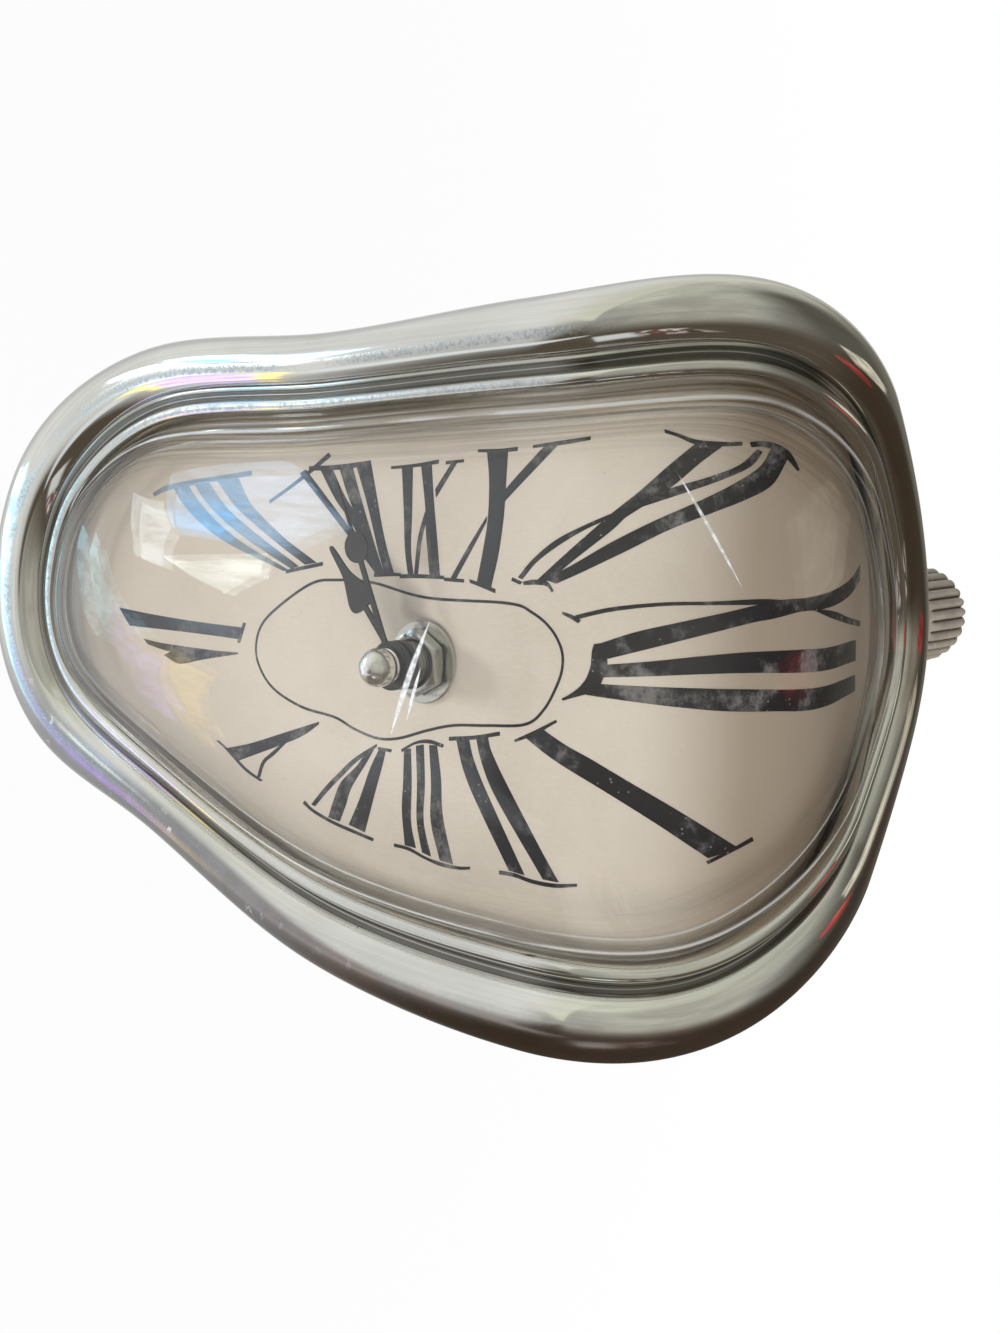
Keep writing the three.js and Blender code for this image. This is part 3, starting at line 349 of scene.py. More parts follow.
def inkFinish():
    # printed numerals: near black, rubbed grey in patches with small paper-coloured nicks
    f = Finish("numeralInk")
    place = f.place()
    rubbed = f.noise(place, 85, 6, 0.75).ramp(0.5, 0.68)
    nicks = f.dots(place, 900, (0.08, 0.2), (130, 3), (0.55, 0.66))
    tone = f.mix(rubbed * 0.9, (0.008, 0.008, 0.012), (0.21, 0.20, 0.20))
    # painted reflection: the ink is pale and bluish round the seven, as under a window's reflection
    sevenPlace = (-0.021, -0.044, -0.087)
    windowReflection = f.vector("DISTANCE", place, sevenPlace).fall(0.008, 0.027)
    tone = f.mix(windowReflection * (0.72 + 0.2 * rubbed), tone, (0.30, 0.37, 0.44))
    f.colour(f.mix(nicks * 0.75, tone, (0.42, 0.38, 0.34)))
    f.rough(0.42 + 0.25 * rubbed)
    f.bump(f.noise(place, 1800, 3), 0.00001, 0.4)
    return f.material


scratchLook = [  # from, by way of, to, and half width in the middle, all in mm on the dome
    ((-35.15, -47.73, 17.46), (-26.99, -44.9, 21.88), (-17.91, -40.77, 25.76), 0.42),
    ((-10.04, -63.78, -18.12), (-0.1, -63.92, -22.26), (9.69, -63.01, -26.36), 0.8),
    ((-2.35, -63.94, -19.58), (2.3, -64.1, -21.1), (6.86, -63.39, -22.68), 0.5)]


def lensFinish():
    # clear plastic sheet: see-through, with mirror gloss at its faces, painted highlight lines and painted shade near
    # its edge, dust and a few scratches
    f = Finish("lensClear")
    place = f.place()
    rim = f.stored("rimSpace", "Vector")
    inset = f.stored("inset")
    outside = f.stored("outside")
    # a face mirrors about 3 percent straight on and more as it turns away, with the fifth power of the turn
    away = f.add("ShaderNodeLayerWeight", None, {"Blend": 0.5}, "Facing")
    gloss = 0.028 + 0.9 * away**5
    dust = f.dots(place, 620, (0.03, 0.09), (60, 3), (0.55, 0.7))
    hairs = f.streaks(place, (90, 700, 2200), 2).ramp(0.72, 0.80)
    hairs = hairs * f.noise(place, 35, 2).ramp(0.5, 0.65)
    streaks = f.streaks(rim, (16, 16, 1300), 3, 0.6)
    # painted highlight: pale lines along the rim near the edge
    lines = streaks.ramp(0.55, 0.72) * inset.fall(0.003, 0.011)
    # painted shade: the view through the steep shoulder is darkened, in streaks along the rim
    x, y, z = f.axes(place)
    shaded = 1 - 0.8 * x.ramp(-0.005, 0.03).atLeast(y.ramp(-0.04, 0))
    dim = (inset.fall(0.0015, 0.0125) * (0.35 + 0.75 * streaks.fall(0.38, 0.62))).clamped() * outside * shaded
    # painted highlight: the crease where the shoulder turns into the dome is lightened, in stretches and all along its
    # lower end
    stretches = f.streaks(rim, (30, 30, 0), 2).ramp(0.30, 0.5)
    crease = inset.near(0.0031, 0.0001, 0.00055) * stretches.atLeast(0.9 - 0.9 * z.ramp(-0.095, -0.05))
    scratch = None
    for start, middle, end, half in scratchLook:
        # distance sideways from the curve through the three places, against a width that tapers to nothing at each end
        a, m, b = (Vector(point) * mm for point in (start, middle, end))
        way, length = (b - a).normalized(), (b - a).length
        side = way.cross(m - (a + b) / 2).normalized()
        off = f.vector("SUBTRACT", place, a, "Vector")
        along = f.vector("DOT_PRODUCT", off, way) / length
        apart = abs(f.vector("DOT_PRODUCT", off, side))
        width = (half * mm) * 4 * (along * (1 - along)).atLeast(0)
        near = (1 - apart / width.atLeast(1e-6)).clamped() * outside
        scratch = near if scratch is None else scratch.atLeast(near)
    scratch = scratch.ramp(0.05, 0.55) * (0.6 + 0.4 * f.noise(place, 900, 2).ramp(0.35, 0.6))
    tints = ((0.985, 0.985, 0.98), (0.40, 0.385, 0.35))
    clear, shadeTint = (f.add("ShaderNodeBsdfTransparent", None, {"Color": rgba(tint)}) for tint in tints)
    share = (gloss + dust * 0.12 + hairs * 0.05 + lines * 0.34 + crease * 0.62 + scratch * 0.85).clamped()
    f.show(f.shaders(share, f.shaders(dim, clear, shadeTint), f.principled))
    f.colour(f.mix(scratch, f.mix(dust, (0.97, 0.97, 0.97), (0.75, 0.74, 0.72)), (0.93, 0.96, 1)))
    # scratches, dust, the edge's painted highlight lines and the crease scatter light, where the clean faces only
    # mirror it
    f.link((1 - scratch.atLeast(dust).atLeast(0.6 * crease).atLeast(0.5 * lines)).clamped(), "Metallic")
    f.rough((0.02 + 0.4 * dust + 0.2 * hairs + 0.12 * lines + 0.5 * scratch).clamped())
    f.bump(f.noise(place, 45, 2) + 0.3 * lines, 0.00004, 0.3)
    return f.material


def platedFinish(name, low, high, grain):
    # nickel plating on turned brass: fine turning lines and soft spots
    f = Finish(name, Metallic=1)
    place = f.place()
    lines = f.streaks(place, (900, 5200, 900), 3, 0.6)
    spots = f.noise(place, 420, 4).ramp(0.55, 0.75)
    f.colour(f.mix(spots, high, low))
    f.rough(0.14 + 0.14 * grain * lines + 0.12 * spots)
    f.bump(lines, 0.00002, 0.4 * grain)
    return f.material


def steelFinish():
    f = Finish("plainSteel", Metallic=1)
    place = f.place()
    grain = f.streaks(place, (700, 700, 3600), 4, 0.6)
    stain = f.noise(place, 120, 4).ramp(0.5, 0.8)
    f.colour(f.mix(stain * 0.6, (0.62, 0.61, 0.59), (0.40, 0.37, 0.33)))
    f.rough(0.24 + 0.16 * grain + 0.15 * stain)
    f.bump(grain, 0.00002, 0.5)
    return f.material


def mouldedFinish(name, base, worn, scale, gloss):
    # moulded plastic: spark-eroded grain, faint flow marks and rubbed places
    f = Finish(name)
    place = f.place()
    grain = f.noise(place, 1500 * scale, 3, 0.6)
    flow = f.streaks(place, (24, 24, 60), 4, 0.6)
    rubs = f.streaks(place, (260, 60, 380), 4, 0.65).ramp(0.58, 0.74)
    dust = f.noise(place, 9, 5, 0.65).ramp(0.5, 0.8)
    tone = f.mix(flow.ramp(0.3, 0.7), base, [1.25 * c for c in base])
    f.colour(f.mix((rubs * 0.35 + dust * 0.25).clamped(), tone, worn))
    f.rough((gloss + 0.14 * grain + 0.1 * dust - 0.08 * rubs).clamped())
    f.bump(grain + 0.4 * flow, 0.00004, 0.5)
    return f.material


def crownFinish():
    # satin paint in cream grey, darkened brown in the grooves by painted shade, rubbed pale on the ribs
    f = Finish("crownPaint")
    place = f.place()
    groove = f.stored("groove")
    cloud = f.noise(place, 160, 4)
    # painted shade darkens the grooves brown, mottled by noise
    grooveShade = (groove * (0.6 + 0.6 * cloud)).clamped()
    tone = f.mix(cloud.ramp(0.3, 0.7), (0.36, 0.31, 0.255), (0.48, 0.43, 0.36))
    tone = f.mix(grooveShade.ramp(0.2, 0.8) * 0.9, tone, (0.11, 0.08, 0.06))
    f.colour(f.mix(f.noise(place, 900, 3).ramp(0.62, 0.72) * 0.4, tone, (0.75, 0.70, 0.62)))
    f.rough(0.36 + 0.2 * cloud + 0.2 * groove)
    f.bump(f.noise(place, 1300, 3), 0.00003, 0.5)
    return f.material


def handFinish():
    f = Finish("handBlack")
    place = f.place()
    dust = f.noise(place, 700, 4).ramp(0.55, 0.75)
    f.colour(f.mix(dust * 0.5, (0.012, 0.012, 0.012), (0.07, 0.068, 0.065)))
    f.rough(0.3 + 0.3 * dust)
    f.bump(f.noise(place, 2200, 3), 0.00001, 0.4)
    return f.material


def ironFinish():
    # sand-cast plate with a thin dark coat and rust blooms
    f = Finish("ballastIron", Metallic=0.6)
    place = f.place()
    sand = f.noise(place, 800, 5, 0.7)
    rustAndReflection = f.noise(place, 90, 5, 0.7).ramp(0.56, 0.72)
    f.colour(f.mix(rustAndReflection * 0.7, (0.06, 0.06, 0.062), (0.24, 0.11, 0.05)))
    f.rough(0.5 + 0.2 * sand + 0.2 * rustAndReflection)
    f.bump(sand, 0.00018, 0.8)
    return f.material


def windingFinish():
    # enamelled wire: fine turns side by side
    f = Finish("coilCopper", Metallic=0.7)
    place = f.place()
    settings = {"wave_type": "BANDS", "bands_direction": "Z"}
    turns = f.add("ShaderNodeTexWave", settings, {"Vector": place, "Scale": 2600, "Distortion": 0.3})
    f.colour(f.mix(turns, (0.20, 0.07, 0.025), (0.66, 0.27, 0.10)))
    f.rough(0.3 + 0.12 * turns)
    f.bump(turns, 0.00005, 0.8)
    return f.material


def boardFinish():
    # circuit board: green mask over copper tracks
    f = Finish("boardGreen")
    place = f.place()
    tracks = f.add("ShaderNodeTexBrick", None, {"Vector": place, "Scale": 260, "Mortar Size": 0.05}, "Fac")
    mottle = f.noise(place, 300, 3)
    tone = f.mix(mottle, (0.02, 0.09, 0.04), (0.03, 0.13, 0.06))
    f.colour(f.mix(tracks * 0.6, tone, (0.08, 0.26, 0.12)))
    f.rough(0.3 + 0.15 * mottle)
    f.bump(tracks, 0.00003, 0.6)
    return f.material


def batteryFinish():
    # printed sleeve: dark with one plain copper-coloured band towards the raised end
    f = Finish("batteryJacket")
    place = f.place()
    x = f.axes(place, "X")[0]
    band = x.ramp(0.0115, 0.0120)
    scuffs = f.streaks(place, (200, 900, 900), 4).ramp(0.58, 0.72)
    tone = f.mix(band, (0.018, 0.019, 0.022), (0.50, 0.25, 0.10))
    ends = abs(x).ramp(0.02405, 0.02425)
    f.colour(f.mix(ends, f.mix(scuffs * 0.4, tone, (0.30, 0.29, 0.28)), (0.62, 0.61, 0.58)))
    f.link(ends.atLeast(band * 0.6), "Metallic")
    f.rough(0.22 + 0.2 * scuffs)
    f.bump(scuffs, 0.00002, 0.4)
    return f.material


finishes = {
    "rim_chrome": chromeFinish(),
    "case_black": mouldedFinish("caseBlack", (0.018, 0.018, 0.019), (0.10, 0.10, 0.10), 1, 0.45),
    "lens_clear": lensFinish(),
    "dial_paper": paperFinish(),
    "ballast_iron": ironFinish(),
    "crown_paint": crownFinish(),
    "steel": steelFinish(),
    "movement_grey": mouldedFinish("movementDark", (0.022, 0.022, 0.024), (0.12, 0.12, 0.12), 1.6, 0.38),
    "brass": platedFinish("brassTurned", (0.42, 0.28, 0.10), (0.66, 0.49, 0.22), 1.4),
    "washer_rubber": mouldedFinish("washerRubber", (0.012, 0.012, 0.012), (0.06, 0.06, 0.06), 0.8, 0.7),
    "nut_plated": platedFinish("nutPlated", (0.22, 0.21, 0.19), (0.55, 0.54, 0.51), 1),
    "gear_white": mouldedFinish("gearWhite", (0.62, 0.60, 0.55), (0.40, 0.37, 0.32), 1.4, 0.35),
    "coil_copper": windingFinish(),
    "board_green": boardFinish(),
    "battery_jacket": batteryFinish(),
    "hand_black": handFinish(),
}
numeralInk = inkFinish()
for part in frame["record"]["subparts"]:
    mesh = nodes[part["node"]].data
    mesh.materials.clear()
    mesh.materials.append(finishes[part["material_slot"]])
print("finishes made:", len(finishes) + 1)


# Rim
rimLook = {
    # up along the dial, to the right, and from the opening to the tube's crest, in mm
    "path": [(109, -4, 6.5), (94.5, 22, 7.5), (59.5, 50.5, 9.5), (26, 56, 11), (-20.5, 51.5, 10), (-62.5, 35, 8.5),
             (-94.5, 20.5, 11.5), (-105, -2.5, 12.5), (-96, -29, 12), (-67, -46.5, 9.5), (-21, -50.5, 8.5),
             (24, -56, 9.5), (63, -58.5, 9.5), (95, -34, 7)],
    "around": 520, "soften": 2.6, "tubeReach": 0.6195, "tubeHeight": 6.22, "tubeMiddle": 1.7,
    # across the rim, as a share of the crest distance, and height above the dial
    "lip": [(0, 2.2), (0, 3.4), (0.012, 4.55), (0.06, 5.3), (0.13, 5.6), (0.20, 5.6), (0.26, 5.25), (0.31, 4.45),
            (0.355, 3.75), (0.40, 3.5), (0.435, 3.85), (0.463, 4.81)],
    "foot": [(1.537, -1.45), (1.50, -2.6), (1.43, -3.5), (1.32, -4)],
    "hidden": [(1.12, -4), (1.36, -0.9), (1.33, 4.1), (1, 5.9), (0.52, 2.2)],
}
around = rimLook["around"]


def rimCourse():
    # the rim's path at even distances, softened by a narrow bell-shaped average so that the plating mirrors smoothly
    fine = smoothLine(rimLook["path"], 120, closed=True)
    step = np.linalg.norm(np.roll(fine[:, :2], -1, 0) - fine[:, :2], axis=1)
    at = np.concatenate([[0], np.cumsum(step)])
    want = np.linspace(0, at[-1], around, endpoint=False)
    looped = np.concatenate([fine, fine[:1]])
    even = np.stack([np.interp(want, at, looped[:, k]) for k in range(3)], -1)
    wave = np.fft.fftfreq(len(even), at[-1] / len(even))
    bell = np.exp(-2 * (math.pi * wave * rimLook["soften"])**2)
    even = np.real(np.fft.ifft(np.fft.fft(even, axis=0) * bell[:, None], axis=0))
    slope = np.roll(even[:, :2], -1, 0) - np.roll(even[:, :2], 1, 0)
    inward = np.stack([-slope[:, 1], slope[:, 0]], -1) / np.linalg.norm(slope, axis=1)[:, None]
    return even[:, :2], even[:, 2], inward, want


course, crestAt, inwardAt, distanceAt = rimCourse()
lapLength = distanceAt[-1] + distanceAt[1]


def nearRim(out):
    # places round the rim at a share of the way from the opening (0) to the crest (1)
    return course + inwardAt * (crestAt * (1 - out))[:, None]


def insideOpening(inset):
    return nearRim(0) + inwardAt * np.asarray(inset)


def rimSection():
    # out from the opening as a share of the crest distance, and height above the dial
    look = rimLook
    turn = np.radians(np.arange(150, -31, -6))
    tube = [1 + look["tubeReach"] * np.cos(turn), look["tubeMiddle"] + look["tubeHeight"] * np.sin(turn)]
    lip, foot = smoothLine(look["lip"], 5), smoothLine(look["foot"], 3)
    return np.concatenate([lip[:-1], np.stack(tube, -1)[:-1], foot, look["hidden"]])


section = rimSection()
rings = np.stack([onDial(*nearRim(out).T, height) for out, height in section])
turnRound = 2 * math.pi * distanceAt / lapLength


def roundRim(acrossPlaces):
    # coordinates for streaks that run with the rim: a circle as long as the rim, and the distance across it
    circle = np.stack([np.cos(turnRound), np.sin(turnRound)], -1) * lapLength / (2 * math.pi)
    acrossPlaces = np.broadcast_to(acrossPlaces, (len(acrossPlaces), around))
    circle = np.broadcast_to(circle, (*acrossPlaces.shape, 2))
    return np.concatenate([circle, acrossPlaces[..., None]], -1).reshape(-1, 3) * mm


rimStored = {"across": np.repeat(section[:, 0], around), "rimSpace": roundRim(section[:, :1] * crestAt[None, :])}
rim = addMesh("rimShell", rings, gridFaces(len(section), around, True), "rim_chrome", sharp=50, stored=rimStored,
              node="front_case")
print("rim:", len(rim.data.polygons), "faces")


# Lens
lensLook = {
    # heights above the dial and the ridge's two ends along it, in mm; over the bend the dome keeps the share "fall" of
    # its rise
    "flangeTop": 1.9, "flange": 1.2, "flangeOut": 0.22, "thickness": 1.8, "rise": 17.35, "ridge": (-55, 10),
    "ridgeX": -4, "fall": 0.485, "shoulder": [(0.5, 0), (0.6, 1.35), (0.9, 3), (1.75, 5.35), (3.2, 7.2)],
}
domeReach = 40  # stands for the way from the shoulder to the ridge where the finish asks how far in a place lies


def lensFace(inset, lowered):
    # rings from the flange inwards: a steep shoulder, then a dome that levels out along a ridge and sinks over the bend
    ridge, low = lensLook["ridge"], lensLook["flangeTop"] - lensLook["flange"]

    def heightAt(rise, s):
        over = np.clip((s - dial["hubDrop"]) / (dial["bendRadius"] * dial["bendTurn"]), 0, 1)
        over = over * over * (3 - 2 * over)
        return np.maximum(low, lensLook["flangeTop"] + rise * (1 - (1 - lensLook["fall"]) * over) - lowered)

    face, insets = [], []
    for inward, rise in smoothLine(lensLook["shoulder"], 5):
        p = insideOpening(inward + inset)
        face.append(onDial(p[:, 0], p[:, 1], heightAt(rise, p[:, 0])))
        insets.append(inward)
    topInward, topRise = lensLook["shoulder"][-1]
    edge = insideOpening(topInward + inset)
    for share in np.concatenate([np.linspace(0.02, 0.9, 40), [0.94, 0.97, 0.985]]):
        rise = lensLook["rise"] - (lensLook["rise"] - topRise) * (1 - share)**2
        s = edge[:, 0] + (np.clip(edge[:, 0], *ridge) - edge[:, 0]) * share
        x = edge[:, 1] + (lensLook["ridgeX"] - edge[:, 1]) * share
        face.append(onDial(s, x, heightAt(rise, s)))
        insets.append(topInward + domeReach * share)
    return face, insets


flangeEdge = nearRim(lensLook["flangeOut"])
flangeTop = lensLook["flangeTop"]
flange = [onDial(*flangeEdge.T, height) for height in (flangeTop, flangeTop - lensLook["flange"])]
outerFace, outerInsets = lensFace(0, 0)
innerFace, innerInsets = lensFace(lensLook["thickness"], lensLook["thickness"])
lensRings = np.stack([*outerFace[::-1], *flange, *innerFace])
outsides = np.array([1] * len(outerInsets) + [0] * (2 + len(innerInsets)))
insets = np.array([*outerInsets[::-1], -1, -1, *innerInsets])[:, None]
lensFaces = gridFaces(len(lensRings), around, False)
lensFaces += ladderFaces(0, around, True) + ladderFaces((len(lensRings) - 1) * around, around, False)
lensStored = {"rimSpace": roundRim(insets), "inset": np.repeat(insets[:, 0], around) * mm,
              "outside": np.repeat(outsides, around)}
lens = addMesh("lensDome", lensRings, lensFaces, "lens_clear", sharp=60, stored=lensStored, node="lens")
print("lens:", len(lens.data.polygons), "faces")


# Dial face and print
faceLook = {"edgeOut": 0.235, "thickness": 0.4, "hole": 4.2, "rings": 46, "shadeReach": 17}
# heights of the print above the face, in mm, where each stroke lies a step higher, and how finely a stroke is cut
printLook = {"foot": 0.002, "height": 0.03, "step": 0.004, "steps": 56, "columns": 5}


def dialFace():
    # a sheet from the hole at the hands' axis out to the rim, closed by its edges
    edge = nearRim(faceLook["edgeOut"])
    bearing = np.arctan2(edge[:, 1], edge[:, 0])
    hole = faceLook["hole"] * np.stack([np.cos(bearing), np.sin(bearing)], -1)
    share = np.linspace(0, 1, faceLook["rings"])[:, None, None]
    flat = hole[None] + (edge - hole)[None] * share
    top = onDial(flat[..., 0], flat[..., 1], 0)
    under = onDial(flat[..., 0], flat[..., 1], -faceLook["thickness"])[::-1]
    return np.concatenate([top, under])


faceRings = dialFace()
# painted shade grows from nothing at its reach from the rim to full at the rim, slowly at first
toRim = np.linalg.norm(faceRings[:faceLook["rings"]] - faceRings[faceLook["rings"] - 1], axis=2) / mm
rimShade = np.clip(1 - toRim / faceLook["shadeReach"], 0, 1)**1.5
addMesh("dialFace", faceRings, gridFaces(len(faceRings), around, True), "dial_paper", sharp=40,
        stored={"rimShade": np.concatenate([rimShade, rimShade[::-1]]).ravel()}, node="dial_sheet")

